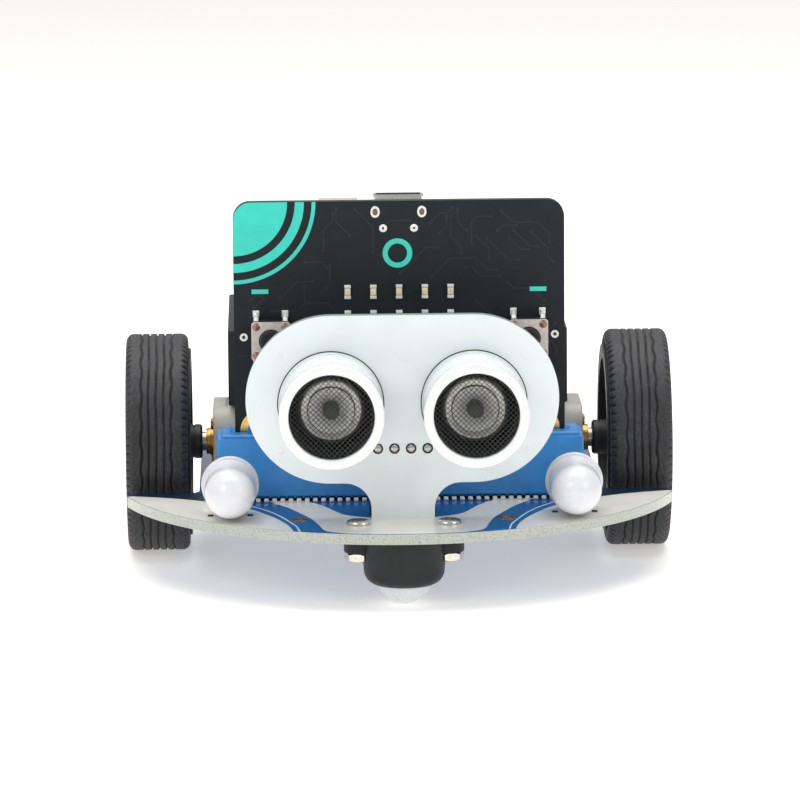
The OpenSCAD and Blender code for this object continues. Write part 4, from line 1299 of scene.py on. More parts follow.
def make_rim(side_name, side):
    """Barrel with an inner lip, pierced web and a stepped hub."""
    bm = bmesh.new()
    lip_x = TYRE_IN - 0.4
    place = facing_side(side, side * lip_x, AXLE.y, AXLE.z)
    width = TYRE_W - 0.1
    barrel_r = RIM_R - 1.4
    barrel = [(barrel_r, 0.1), (barrel_r + 0.15, 0.0), (RIM_R + 0.7, 0.0), (RIM_R + 0.8, 0.12),
              (RIM_R + 0.74, 0.38),
              (RIM_R, 0.4), (RIM_R, width - 0.15), (RIM_R - 0.2, width), (barrel_r + 0.5, width),
              (barrel_r + 0.1, width - 0.4), (barrel_r, width - 0.9), (barrel_r, 4.3),
              (barrel_r - 0.25, 4.1),
              (barrel_r - 0.25, 1.9), (barrel_r, 1.6)]
    add_lathe(bm, barrel, 120, place, closed=True)
    web_low, web_high = 1.9, 4.1
    windows = [(8 * math.cos(a), 8 * math.sin(a), 2.4) for a in (2 * math.pi * k / 6 for k in range(6))]
    windows.append((0, 0, 2.4))
    plate_with_holes(bm, ring_points(barrel_r - 0.1, 96), windows, web_low, web_high,
                     lambda u, v, h: place @ Vector((u, v, h)))
    for x, y, r in windows[:-1]:
        spot = place @ Matrix.Translation((x, y, 0))
        add_annulus(bm, r, r + 0.35, web_high, web_high + 0.25, spot, 32)
    for k in range(6):
        turn = place @ Matrix.Rotation(2 * math.pi * (k + 0.5) / 6, 4, "Z")
        rib = bmesh.new()
        add_box(rib, (2.6, -0.5, web_high - 0.1), (barrel_r + 0.05, 0.5, web_high + 0.9), 0.2, 2)
        stamp(bm, rib, turn)
        rib.free()
    hub_low = span(side_name + "_wheel")[0].x if side > 0 else -span(side_name + "_wheel")[1].x
    hub_start = hub_low - lip_x
    hub_end = 37.5 - lip_x
    hub = [(1.56, hub_start), (2.45, hub_start), (2.75, hub_start + 0.3), (2.75, hub_start + 1.15),
           (2.6, hub_start + 1.2), (2.6, hub_start + 1.4), (2.75, hub_start + 1.45), (2.75, hub_end - 0.3),
           (2.5, hub_end), (1.56, hub_end)]
    add_lathe(bm, hub, 48, place, closed=True)
    piece(side_name + "_rim", bm, MATERIAL["rim_plastic"], body=side_name + "_wheel_set",
          smooth=35, replaces=[side_name + "_wheel"])


# ---------------------------------------------------------------- motors

def make_motor(side_name, side):
    """Motor can with two flats, black end cap with a round boss, and solder tabs."""
    gear_in = abs(span(side_name + "_gearbox")[0 if side > 0 else 1].x)
    length = 15.0
    place = facing_side(side, side * (gear_in - length), AXLE.y, AXLE.z)
    can, cap, tabs = bmesh.new(), bmesh.new(), bmesh.new()
    radius, flat_half = 6.0, 4.95
    outline = [(r_x, max(-flat_half, min(flat_half, r_y))) for r_x, r_y in ring_points(radius, 96)]

    def grown(by):
        scale = (radius + by) / radius
        return [place @ Vector((-v * scale, u * scale, 0)) for u, v in outline]

    def ring(by, z):
        shift = place.to_3x3() @ Vector((0, 0, z))
        return [p + shift for p in grown(by)]

    made = join_rings(can, [ring(-0.5, 1.2), ring(-0.12, 1.25), ring(0, 1.5), ring(0, length - 0.4),
                            ring(-0.25, length - 0.02), ring(-0.5, length)])
    can.faces.new(made[0])
    can.faces.new(made[-1])
    made = join_rings(cap, [ring(-1.2, 0.0), ring(-0.9, 0.25), ring(-0.8, 1.3)])
    cap.faces.new(made[0])
    cap.faces.new(made[-1])
    add_lathe(cap, [(1.6, 0.1), (1.6, -0.5), (1.3, -0.7), (0.5, -0.7), (0.5, 0.1)], 32, place)
    for s in (-1, 1):
        tab = bmesh.new()
        add_box(tab, (s * 4 - 0.75, -0.2, -1.6), (s * 4 + 0.75, 0.2, 0.6), 0.12, 1)
        stamp(tabs, tab, place @ Matrix.Rotation(math.pi / 2, 4, "Z"))
        tab.free()
    piece(side_name + "_motor_can", can, MATERIAL["motor_steel"],
          replaces=[side_name + "_motor"])
    piece(side_name + "_motor_cap", cap, MATERIAL["black_plastic"])
    piece(side_name + "_motor_tabs", tabs, MATERIAL["tinned_metal"])


def make_gearbox_trim(side_name, side):
    """Slotted post screws and a stepped bearing bush on the gearbox's outer plate."""
    outer = abs(span(side_name + "_gearbox")[1 if side > 0 else 0].x) - 1.2
    bm = bmesh.new()
    place = facing_side(side, side * outer, AXLE.y, AXLE.z)
    across = place.to_3x3().inverted() @ Vector((0, 1, 0))
    upward = place.to_3x3().inverted() @ Vector((0, 0, 1))
    head = screw_head(0.95, 0.45, slot_reach=0.9, slot_half=0.14, depth=0.22)
    for s in (-1, 1):
        stamp(bm, head, place @ Matrix.Translation(across * s * 4.9 - upward * s * 3.7))
    head.free()
    bush = [(1.56, 1.15), (1.9, 1.15), (2.08, 1.0), (2.08, 0.55), (2.3, 0.5), (2.3, 0.0), (1.56, 0.0)]
    add_lathe(bm, bush, 40, place, closed=True)
    piece(side_name + "_gearbox_screws", bm, MATERIAL["gearbox_brass"])


def make_bracket(side_name, side):
    """Grey saddle with softened edges, a relief panel on top and two screw feet."""
    low, high = span(side_name + "_motor_bracket")
    half, wall_half, corner = 7.3, 6.1, 3.0
    top = high.z
    ceiling = AXLE.z + 5.05
    arch = [(-half, BOARD_TOP)]
    arch += [(-half + corner - corner * math.cos(a), top - corner + corner * math.sin(a))
             for a in (math.pi / 2 * k / 10 for k in range(11))]
    arch += [(half - corner + corner * math.sin(a), top - corner + corner * math.cos(a))
             for a in (math.pi / 2 * k / 10 for k in range(11))]
    arch += [(half, BOARD_TOP), (wall_half, BOARD_TOP), (wall_half, ceiling), (-wall_half, ceiling),
             (-wall_half, BOARD_TOP)]
    bm = bmesh.new()
    add_prism(bm, arch, low.x, high.x, lambda u, v, h: Vector((h, AXLE.y + u, v)))
    bmesh.ops.recalc_face_normals(bm, faces=bm.faces[:])
    soften(bm, 0.28, 3, 50)
    for s in (-1, 1):
        y0, y1 = sorted((AXLE.y + s * 7.0, AXLE.y + s * 11.5))
        add_box(bm, (low.x, y0, BOARD_TOP), (high.x, y1, BOARD_TOP + BRACKET_FOOT), 0.3, 3)
        x = side * (abs(high.x if side > 0 else low.x) - 4.4)
        add_annulus(bm, 1.0, 2.2, BOARD_TOP + BRACKET_FOOT - 0.05, BOARD_TOP + BRACKET_FOOT + 0.04,
                    Matrix.Translation((x, AXLE.y + s * 9.2, 0)), 40)
    for k in range(3):
        x = low.x + 1.9 + 2.2 * k
        add_box(bm, (x, AXLE.y - 3.9, top - 0.1), (x + 0.5, AXLE.y + 3.9, top - 0.0), 0.04, 1)
    piece(side_name + "_saddle", bm, MATERIAL["bracket_grey"],
          replaces=[side_name + "_motor_bracket"])


# ---------------------------------------------------------------- controller card

CARD_LOW, CARD_HIGH = span("controller_card")
CARD_FRONT, CARD_BACK = CARD_LOW.y, CARD_HIGH.y
CARD_TOP = CARD_HIGH.z
CARD_HALF = CARD_HIGH.x
CARD_CORNER = 2.7
BUTTON_X = 20.0
BUTTON_Z = middle("left_button").z
LIGHT_PITCH = 4.0
LIGHT_TOP = span("card_lights")[1].z


def corner_art(inner, outer):
    """A quarter band about the card's top left corner, trimmed to the rounded edge."""
    edge_x, edge_z = -CARD_HALF + 0.06, CARD_TOP - 0.06
    outline = ring_points(outer, 24, (edge_x, edge_z), -math.pi / 2, math.pi / 2)
    if inner > 0:
        return outline + ring_points(inner, 24, (edge_x, edge_z), 0, -math.pi / 2)
    round_r = CARD_CORNER
    return outline + ring_points(round_r, 10, (edge_x + round_r, edge_z - round_r), math.pi / 2,
                                 math.pi / 2)


def make_card_art():
    """Plain teal shapes: a quarter disc with two bands in the corner, a ring and two short bars."""
    bm = bmesh.new()
    for inner, outer in ((0, 8.4), (9.6, 11.0), (12.2, 12.8)):
        add_prism(bm, corner_art(inner, outer), CARD_FRONT, CARD_FRONT - INK, upright)
    add_annulus(bm, 1.5, 2.3, 0, INK, facing_front(-0.2, CARD_FRONT, 50.6), 56)
    for side in (-1, 1):
        x = side * (BUTTON_X + 1.6)
        add_box(bm, (x - 1.3, CARD_FRONT - INK, BUTTON_Z + 6.9), (x + 1.3, CARD_FRONT, BUTTON_Z + 7.6))
    piece("card_art", bm, MATERIAL["teal_ink"], smooth=0)


def clear_of_art(x, z):
    far = math.hypot(x + CARD_HALF, z - CARD_TOP) > 14 or z < 30
    return far and math.hypot(x + 0.2, z - 50.6) > 3 and not (abs(x) < 10 and z < LIGHT_TOP + 1)


def make_card_surface():
    """Buried traces on both faces, plated rings and the metal pads under the sockets."""
    make_traces("card_traces_front", MATERIAL["card_trace"], 520, (-25.0, 24.0), (25.0, 58.0), CARD_FRONT,
                -0.012, 0.2, upright, clear_of_art)
    make_traces("card_traces_back", MATERIAL["card_trace"], 380, (-25.0, 26.5), (25.0, 58.0), CARD_BACK,
                0.012, 0.2, upright)
    gold, tin, dark = bmesh.new(), bmesh.new(), bmesh.new()
    for k in range(-2, 3):
        place = facing_front(10.9 * k, CARD_FRONT, CARD_LOW.z + 6.1)
        thick = CARD_BACK - CARD_FRONT
        ring = [(1.97, -thick - 0.02), (3.1, -thick - 0.02), (3.1, -thick), (2.0, -thick), (2.0, 0),
                (3.1, 0),
                (3.1, 0.02), (1.97, 0.02)]
        add_lathe(gold, ring, 40, place, closed=True)
    for side in (-1, 1):
        add_annulus(tin, 0.28, 0.62, 0, 0.04, facing_front(side * 24.2, CARD_FRONT, BUTTON_Z + 0.1), 28)
        for x, z, wide, tall, hole in ((3.62, 57.05, 0.72, 0.92, 0.42), (2.4, 54.5, 0.62, 0.62, 0.2)):
            place = facing_front(side * x, CARD_FRONT, z) @ Matrix.Diagonal((1, tall / wide, 1, 1))
            add_lathe(tin, [(wide, 0), (wide - 0.06, 0.05), (hole + 0.08, 0.06), (hole, 0.02)], 36, place)
            add_lathe(dark, [(hole + 0.02, 0.012), (0, 0.012)], 28, place)
    piece("card_gold_rings", gold, MATERIAL["gold_plate"])
    piece("card_plated_pads", tin, MATERIAL["bright_solder"])
    piece("card_pad_holes", dark, MATERIAL["bare_fibre"])


def make_card_lights():
    """Five by five light packages: cream body with silver ends and thin dark bands between body and ends."""
    bodies, ends, dies = bmesh.new(), bmesh.new(), bmesh.new()
    front = span("card_lights")[0].y
    for i in range(-2, 3):
        for j in range(5):
            x, z = i * LIGHT_PITCH, LIGHT_TOP - 1.1 - j * LIGHT_PITCH
            add_box(bodies, (x - 0.46, front, z - 0.56), (x + 0.46, CARD_FRONT, z + 0.56), 0.09, 2)
            for s in (-1, 1):
                z0, z1 = sorted((z + s * 0.6, z + s * 1.1))
                add_box(ends, (x - 0.5, front + 0.06, z0), (x + 0.5, CARD_FRONT, z1), 0.07, 2)
                z2, z3 = sorted((z + s * 0.55, z + s * 0.62))
                add_box(dies, (x - 0.44, front + 0.18, z2), (x + 0.44, CARD_FRONT, z3), 0.02, 1)
    piece("card_light_bodies", bodies, MATERIAL["led_cream"], replaces=["card_lights"])
    piece("card_light_ends", ends, MATERIAL["bright_solder"])
    piece("card_light_gaps", dies, MATERIAL["chip_black"])


def make_buttons():
    """Two square tactile switches: black base, pressed metal cover with four rivets, round plunger."""
    bases, covers, rivets, leads = bmesh.new(), bmesh.new(), bmesh.new(), bmesh.new()
    front = span("button_housings")[0].y
    for side in (-1, 1):
        x = side * BUTTON_X
        ring = [(-2.85, -2.85), (2.85, -2.85), (2.85, 2.85), (-2.85, 2.85)]
        outline = [(x + u, BUTTON_Z + v) for u, v in ring]
        plate_with_holes(bases, outline, [(x, BUTTON_Z, 1.95)], CARD_FRONT, front + 0.5, upright)
        corner = 0.45
        cover = []
        for cu, cv, start in ((1, 1, 0), (-1, 1, 1), (-1, -1, 2), (1, -1, 3)):
            centre = (x + cu * (3.0 - corner), BUTTON_Z + cv * (3.0 - corner))
            cover += ring_points(corner, 5, centre, start * math.pi / 2, math.pi / 2)
        plate_with_holes(covers, cover, [(x, BUTTON_Z, 1.86)], front + 0.28, front, upright)
        add_annulus(covers, 1.86, 2.12, 0, 0.1, facing_front(x, front + 0.06, BUTTON_Z), 48)
        for u in (-1, 1):
            x0, x1 = sorted((x + u * 2.86, x + u * 3.0))
            add_box(covers, (x0, front + 0.1, BUTTON_Z - 1.6), (x1, front + 2.6, BUTTON_Z + 1.6), 0.05, 1)
            for v in (-1, 1):
                spot = facing_front(x + u * 2.25, front, BUTTON_Z + v * 2.25)
                add_lathe(rivets, [(0.62, 0.0), (0.6, 0.05), (0.42, 0.12), (0.3, 0.2), (0, 0.22)], 20, spot)
                lead = [(x + u * 2.25, front + 1.7, BUTTON_Z + v * 2.8),
                        (x + u * 2.25, front + 1.9, BUTTON_Z + v * 3.2),
                        (x + u * 2.25, CARD_FRONT - 0.3, BUTTON_Z + v * 3.35),
                        (x + u * 2.25, CARD_FRONT - 0.25, BUTTON_Z + v * 4.0)]
                add_tube(leads, lead, 0.4, 8)
                z0, z1 = sorted((BUTTON_Z + v * 3.2, BUTTON_Z + v * 4.3))
                add_box(leads, (x + u * 2.25 - 0.5, CARD_FRONT - 0.05, z0),
                        (x + u * 2.25 + 0.5, CARD_FRONT, z1), 0.02, 1)
    piece("button_bases", bases, MATERIAL["chip_black"], replaces=["button_housings"])
    piece("button_covers", covers, MATERIAL["button_cover"])
    piece("button_rivets", rivets, MATERIAL["copper_rivet"])
    piece("button_leads", leads, MATERIAL["bright_solder"])
    for name in ("left_button", "right_button"):
        low, high = span(name)
        length = high.y - low.y
        plunger = [(0, 0), (1.68, 0), (1.74, 0.1), (1.74, length - 0.35), (1.62, length - 0.1),
                   (1.3, length),
                   (1.1, length - 0.05), (0, length - 0.08)]
        bm = bmesh.new()
        add_lathe(bm, plunger, 48, facing_front((low.x + high.x) / 2, high.y, BUTTON_Z))
        piece(name + "_plunger", bm, MATERIAL["black_plastic"], body=name,
              replaces=[name])


def add_open_box(bm, low, high, inner_low, inner_high, axis, bevel=0.12):
    """One closed shell open towards +axis: bevelled outer walls, a rim, inner walls and a floor."""
    u, v = (axis + 1) % 3, (axis + 2) % 3

    def ring(a, b, level, inset, radius):
        centre = ((a[u] + b[u]) / 2, (a[v] + b[v]) / 2)
        half_u, half_v = (b[u] - a[u]) / 2 - inset, (b[v] - a[v]) / 2 - inset
        loop = []
        for x, y, _ in rect_ring(half_u, half_v, radius, 0, centre, 4):
            point = [0, 0, 0]
            point[u], point[v], point[axis] = x, y, level
            loop.append(bm.verts.new(point))
        return loop

    foot, top, floor = low[axis], high[axis], inner_low[axis]
    loops = [ring(low, high, foot, bevel, bevel), ring(low, high, foot + bevel, 0, bevel),
             ring(low, high, top - bevel, 0, bevel), ring(low, high, top, bevel / 2, bevel),
             ring(inner_low, inner_high, top, 0, bevel / 2),
             ring(inner_low, inner_high, floor, 0, bevel / 2)]
    count = len(loops[0])
    for first, second in zip(loops, loops[1:]):
        for k in range(count):
            bm.faces.new([first[k], first[(k + 1) % count], second[(k + 1) % count], second[k]])
    bm.faces.new(loops[0])
    bm.faces.new(loops[-1])


def make_reset_switch():
    frame_bm, legs = bmesh.new(), bmesh.new()
    cap_low, cap_high = span("reset_button")
    x = (cap_low.x + cap_high.x) / 2
    z = (cap_low.z + cap_high.z) / 2
    back = CARD_BACK + 2.6
    add_open_box(frame_bm, (x - 3, CARD_BACK, z - 1.8), (x + 3, back, z + 1.5),
                 (x - 1.65, CARD_BACK + 0.8, z - 0.85), (x + 1.65, back, z + 0.85), 1, 0.14)
    for u in (-1, 1):
        x0, x1 = sorted((x + u * 2.9, x + u * 3.5))
        add_box(legs, (x0, CARD_BACK, z - 0.6), (x1, CARD_BACK + 0.3, z + 0.6), 0.08, 2)
        add_lathe(legs, [(0.45, 0), (0.4, 0.08), (0, 0.12)], 20,
                  facing_back(x + u * 2.35, back, z))
    piece("reset_switch_frame", frame_bm, MATERIAL["button_cover"])
    piece("reset_switch_legs", legs, MATERIAL["tinned_metal"])
    bm = bmesh.new()
    add_box(bm, cap_low, cap_high, 0.2, 3)
    piece("reset_plunger", bm, MATERIAL["black_plastic"], body="reset_button",
          replaces=["reset_button"])


def make_usb():
    """Folded shell with flared lips, painted shade for latch slots, and the tongue with five contacts."""
    low, high = span("usb_socket")
    shell, tongue, pins = bmesh.new(), bmesh.new(), bmesh.new()
    wall = 0.3
    add_open_box(shell, low, high, (low.x + wall, low.y + wall, low.z + 0.6),
                 (high.x - wall, high.y - wall, high.z), 2, 0.12)
    # Painted shade: thin black patches on the shell stand for the latch slots.
    slots = bmesh.new()
    for x0, x1 in ((low.x + 0.9, low.x + 2.3), (high.x - 2.3, high.x - 0.9)):
        add_box(slots, (x0, high.y - 0.1, low.z + 1.4), (x1, high.y + 0.012, low.z + 3.4), 0.04, 1)
    add_box(shell, (low.x + 0.7, high.y - 0.06, high.z - 0.38),
            (high.x - 0.7, high.y + 0.22, high.z - 0.06), 0.1, 2)
    for x0, x1 in ((low.x - 0.22, low.x + 0.06), (high.x - 0.06, high.x + 0.22)):
        add_box(shell, (x0, low.y + 0.5, high.z - 0.38), (x1, high.y - 0.4, high.z - 0.06), 0.1, 2)
    t_low, t_high = span("usb_tongue")
    add_box(tongue, t_low, t_high, 0.1, 2)
    for k in range(5):
        x = (k - 2) * 0.65
        add_box(pins, (x - 0.17, t_low.y - 0.04, t_low.z + 0.4), (x + 0.17, t_low.y + 0.05, t_high.z - 0.2),
                0.02, 1)
    for side in (-1, 1):
        x0, x1 = sorted((side * 3.6, side * 4.3))
        add_box(pins, (x0, CARD_BACK, low.z + 0.6), (x1, CARD_BACK + 0.25, low.z + 1.9), 0.08, 2)
    piece("usb_shell", shell, MATERIAL["tinned_metal"], replaces=["usb_socket"])
    piece("usb_latch_slot_shade", slots, MATERIAL["deep_black"], smooth=0)
    piece("usb_insert", tongue, MATERIAL["chip_black"], replaces=["usb_tongue"])
    piece("usb_contacts", pins, MATERIAL["gold_plate"])


def make_lead_socket(name, inner_low, inner_high, open_axis, pin_path):
    """Two-pin ivory socket with square pins inside."""
    low, high = span(name)
    bm, pins = bmesh.new(), bmesh.new()
    add_open_box(bm, low, high, low + Vector(inner_low), low + Vector(inner_high), open_axis, 0.16)
    for s in (-1, 1):
        add_tube(pins, [low + Vector(p) + Vector((s, 0, 0)) for p in pin_path], 0.25, 4)
    piece(name + "_shell", bm, MATERIAL["ivory_plastic"], replaces=[name])
    piece(name + "_pins", pins, MATERIAL["tinned_metal"])


def make_card_chips():
    """Packages on the back of the card: leadless squares with side pads, small parts and a crystal."""
    bodies, legs = bmesh.new(), bmesh.new()
    squares = [(-20, -19, 6, 6, 0.9, 9), (-3.5, -19, 7, 7, 0.9, 11), (8, -16, 3, 3, 0.8, 4),
               (14, -17, 2, 2, 0.8, 3)]
    for x, dz, wide, tall, thick, pins in squares:
        z = CARD_TOP + dz
        add_box(bodies, (x + 0.12, CARD_BACK, z + 0.12),
                (x + wide - 0.12, CARD_BACK + thick, z + tall - 0.12), 0.1, 2)
        add_lathe(legs, [(0.28, 0), (0.22, 0.02), (0, 0.02)], 20,
                  facing_back(x + 0.9, CARD_BACK + thick,
                                      z + tall - 0.9))
        for k in range(pins):
            at = (k + 0.5) / pins
            for s in (0, 1):
                x_at = x + at * wide
                z0 = z - 0.25 if s == 0 else z + tall - 0.15
                add_box(legs, (x_at - 0.13, CARD_BACK, z0), (x_at + 0.13, CARD_BACK + 0.14, z0 + 0.4), 0.03,
                        1)
                z_at = z + at * tall
                x0 = x - 0.25 if s == 0 else x + wide - 0.15
                add_box(legs, (x0, CARD_BACK, z_at - 0.13), (x0 + 0.4, CARD_BACK + 0.14, z_at + 0.13), 0.03,
                        1)
    piece("card_chip_bodies", bodies, MATERIAL["chip_black"], replaces=["card_chips"])
    spots = [(-22 + 2.2 * k, -24, 1, 1.6, 0.5) for k in range(7)] + [(7 + 2.2 * k, -10, 1, 1.6,
        0.5) for k in range(4)]
    ceramics = bmesh.new()
    for x, dz, wide, tall, thick in spots:
        z = CARD_TOP + dz
        add_box(ceramics, (x + 0.03, CARD_BACK, z + 0.35),
                (x + wide - 0.03, CARD_BACK + thick - 0.03, z + tall - 0.35), 0.05, 1)
        for z0 in (z, z + tall - 0.38):
            add_box(legs, (x, CARD_BACK, z0), (x + wide, CARD_BACK + thick, z0 + 0.38), 0.06, 2)
    add_box(legs, (9, CARD_BACK, CARD_TOP - 23), (12, CARD_BACK + 1, CARD_TOP - 21.4), 0.25, 3)
    piece("card_ceramics", ceramics, MATERIAL["amber_part"])
    piece("card_chip_pads", legs, MATERIAL["tinned_metal"])


# ---------------------------------------------------------------- edge connector

def rect_ring(half_x, half_y, radius, z, centre=(0, 0), steps=5):
    """A rectangle with corner arcs at one height."""
    points = []
    for sx, sy, start in ((1, 1, 0), (-1, 1, 1), (-1, -1, 2), (1, -1, 3)):
        corner = (centre[0] + sx * (half_x - radius), centre[1] + sy * (half_y - radius))
        points += ring_points(radius, steps, corner, start * math.pi / 2, math.pi / 2)
    return [(x, y, z) for x, y in points]


def make_edge_connector():
    low, high = span("edge_connector")
    half_x = high.x
    half_y = (high.y - low.y) / 2
    mid = (0, (high.y + low.y) / 2)
    slot = (0, (CARD_FRONT + CARD_BACK) / 2)
    slot_x, slot_y = CARD_HALF + 0.4, (CARD_BACK - CARD_FRONT) / 2 + 0.15
    base = BOARD_TOP + 0.7
    rings = [rect_ring(slot_x, slot_y, 0.1, base, slot),
             rect_ring(half_x - 0.25, half_y - 0.25, 0.2, base, mid),
             rect_ring(half_x, half_y, 0.35, base + 0.25, mid),
             rect_ring(half_x, half_y, 0.35, high.z - 0.85, mid),
             rect_ring(half_x - 0.1, half_y - 0.1, 0.35, high.z - 0.65, mid),
             rect_ring(half_x - 0.25, half_y - 0.25, 0.3, high.z - 0.6, mid),
             rect_ring(half_x - 0.6, half_y - 0.6, 0.3, high.z - 0.6, mid),
             rect_ring(half_x - 0.62, half_y - 0.62, 0.3, high.z - 0.2, mid),
             rect_ring(half_x - 0.8, half_y - 0.8, 0.3, high.z, mid),
             rect_ring(slot_x + 0.35, slot_y + 0.35, 0.2, high.z, slot),
             rect_ring(slot_x, slot_y, 0.1, high.z - 0.4, slot)]
    bm = bmesh.new()
    join_rings(bm, rings, closed=True)
    for side in (-1, 1):
        x0, x1 = sorted((side * (half_x - 2.4), side * (half_x - 0.4)))
        add_box(bm, (x0, low.y + 1, BOARD_TOP), (x1, high.y - 1, base + 0.3), 0.15, 2)
    for k in range(41):
        x = (k - 20) * 1.27
        for y in (low.y + 0.35, high.y - 1.15):
            add_box(bm, (x - 0.2, y, base - 0.25), (x + 0.2, y + 0.8, base + 0.1), 0.05, 1)
    piece("connector_body", bm, MATERIAL["blue_plastic"], replaces=["edge_connector"])


def make_edge_contacts():
    """Eighty spring contacts with flat feet on tinned pads."""
    springs, pads = bmesh.new(), bmesh.new()
    low, high = span("edge_contacts")
    foot_z = BOARD_TOP + 0.2
    for k in range(40):
        x = (k - 19.5) * 1.27
        for end, s in ((low.y, 1), (high.y, -1)):
            card = CARD_FRONT if s > 0 else CARD_BACK
            path = [(end + s * 0.02, foot_z), (end + s * 2.6, foot_z), (card - s * 0.75, foot_z + 0.5),
                    (card - s * 0.6, foot_z + 2.2), (card - s * 0.5, foot_z + 4.6),
                    (card - s * 0.12, foot_z + 6.6),
                    (card - s * 0.3, high.z - 0.1)]
            add_tube(springs, [(x, y, z) for y, z in path], 0.2, 4)
            y0, y1 = sorted((end - s * 0.75, end + s * 0.9))
            add_box(pads, (x - 0.37, y0, BOARD_TOP), (x + 0.37, y1, BOARD_TOP + 0.5), 0.16, 2)
    piece("contact_springs", springs, MATERIAL["gold_plate"],
          replaces=["edge_contacts"])
    piece("contact_pads", pads, MATERIAL["bright_solder"])


# ---------------------------------------------------------------- battery box

CELL_BAY = (span("battery_box")[1].y - span("battery_box")[0].y - 2.8) / 3


def make_battery_box():
    low, high = span("battery_box")
    wall = 1.4
    bm = bmesh.new()
    notch = [(low.x, low.z), (high.x, low.z), (high.x, high.z), (6.5, high.z), (6.0, low.z + 6.5),
             (5.4, low.z + 6),
             (-5.4, low.z + 6), (-6.0, low.z + 6.5), (-6.5, high.z), (low.x, high.z)]
    for y in (low.y, high.y - wall):
        side = bmesh.new()
        add_prism(side, notch, y, y + wall, upright)
        bmesh.ops.recalc_face_normals(side, faces=side.faces[:])
        soften(side, 0.3, 3, 30)
        stamp(bm, side, Matrix.Identity(4))
        side.free()
    for x in (low.x, high.x - wall):
        add_box(bm, (x, low.y + 0.02, low.z + 0.02), (x + wall, high.y - 0.02, high.z - 0.02), 0.3, 3)
    add_box(bm, (low.x + 0.3, low.y + 0.3, low.z), (high.x - 0.3, high.y - 0.3, low.z + wall), 0.2, 2)
    for k in (1, 2):
        y = low.y + wall + k * CELL_BAY
        add_box(bm, (low.x + 1, y - 0.25, low.z + 0.5), (high.x - 1, y + 0.25, low.z + 3.5), 0.15, 2)
        for x in (low.x + wall, high.x - wall - 1.0):
            add_box(bm, (x, y - 0.6, low.z + 1), (x + 1.0, y + 0.6, high.z - 1.2), 0.2, 2)
    piece("battery_tray", bm, MATERIAL["black_plastic"], replaces=["battery_box"])


def cell_row(k):
    """Y of a cell and the side its raised end points to."""
    low = span("battery_box")[0]
    return low.y + 1.4 + (k + 0.5) * CELL_BAY, 1 if k % 2 == 0 else -1


def make_cells():
    """Three cells with shrink sleeves: plain body, one pale ring, metal ends."""
    sleeves, ends = bmesh.new(), bmesh.new()
    z = middle("battery_cells").z
    length, radius = 43.4, 5.2
    start = -44.4 / 2 + 0.4
    for k in range(3):
        y, way = cell_row(k)
        place = facing_side(way, way * start, y, z)
        sleeve = [(4.5, 0.02), (4.9, 0.0), (radius - 0.08, 0.12), (radius, 0.4), (radius, 30.0),
                  (radius, 30.01),
                  (radius, 33.0), (radius, 33.01), (radius, length - 0.4), (radius - 0.08, length - 0.12),
                  (4.9, length), (4.3, length - 0.02)]
        add_lathe(sleeves, sleeve, 64, place)
        add_lathe(ends, [(0, 0.1), (3.2, 0.1), (3.5, 0.02), (4.6, 0.05)], 48, place)
        nub = [(4.5, length - 0.05), (4.1, length - 0.05), (3.9, length - 0.25), (2.1, length - 0.25),
               (1.9, length - 0.1), (1.9, length + 0.8), (1.7, length + 1.0), (0, length + 1.0)]
        add_lathe(ends, nub, 48, place)
    skin = piece("cell_sleeves", sleeves, MATERIAL["cell_wrap"],
                 replaces=["battery_cells"])
    band = skin.data.attributes.new("band", "FLOAT", "FACE")
    for polygon in skin.data.polygons:
        row = round((polygon.center.y / MM - cell_row(0)[0]) / CELL_BAY)
        along = cell_row(row)[1] * polygon.center.x / MM - start
        band.data[polygon.index].value = 1.0 if 30 < along < 33 else 0.0
    piece("cell_ends", ends, MATERIAL["motor_steel"])


def make_cell_contacts():
    """Coil springs on stamped plates, and plain plates with a pressed boss."""
    coils, plates = bmesh.new(), bmesh.new()
    high = span("battery_contacts")[1]
    z = middle("battery_cells").z
    inner = high.x
    gap = inner - 44.4 / 2 + 0.4 - 0.5
    for k in range(3):
        y, way = cell_row(k)
        turns, steps = 4, 80
        path = []
        for s in range(steps + 1):
            t = s / steps
            a = 2 * math.pi * turns * t
            radius = 3.5 - 1.4 * t
            rise = 0.45 + (gap - 0.35) * t
            path.append((way * (-inner + rise), y + radius * math.cos(a), z + radius * math.sin(a)))
        add_tube(coils, path, 0.24, 8)
        for side in (-1, 1):
            x0, x1 = sorted((side * inner, side * (inner - 0.35)))
            add_box(plates, (x0, y - 4, z - 4), (x1, y + 4, z + 4), 0.14, 2)
        boss = [(2.6, 0.3), (2.3, 0.6), (2.0, gap + 0.2), (1.7, gap + 0.4), (0, gap + 0.4)]
        add_lathe(plates, [(r, min(h, inner - 44.4 / 2 - 0.42)) for r, h in boss], 32,
                  facing_side(-way, way * inner, y, z))
    piece("cell_springs", coils, MATERIAL["steel"], replaces=["battery_contacts"])
    piece("cell_plates", plates, MATERIAL["steel"])


def make_foam():
    low, high = span("foam_pad")
    bm = bmesh.new()
    add_box(bm, low, high, 0.2, 2)
    piece("foam_tape_pad", bm, MATERIAL["foam"], replaces=["foam_pad"])


# ---------------------------------------------------------------- parts on the tail

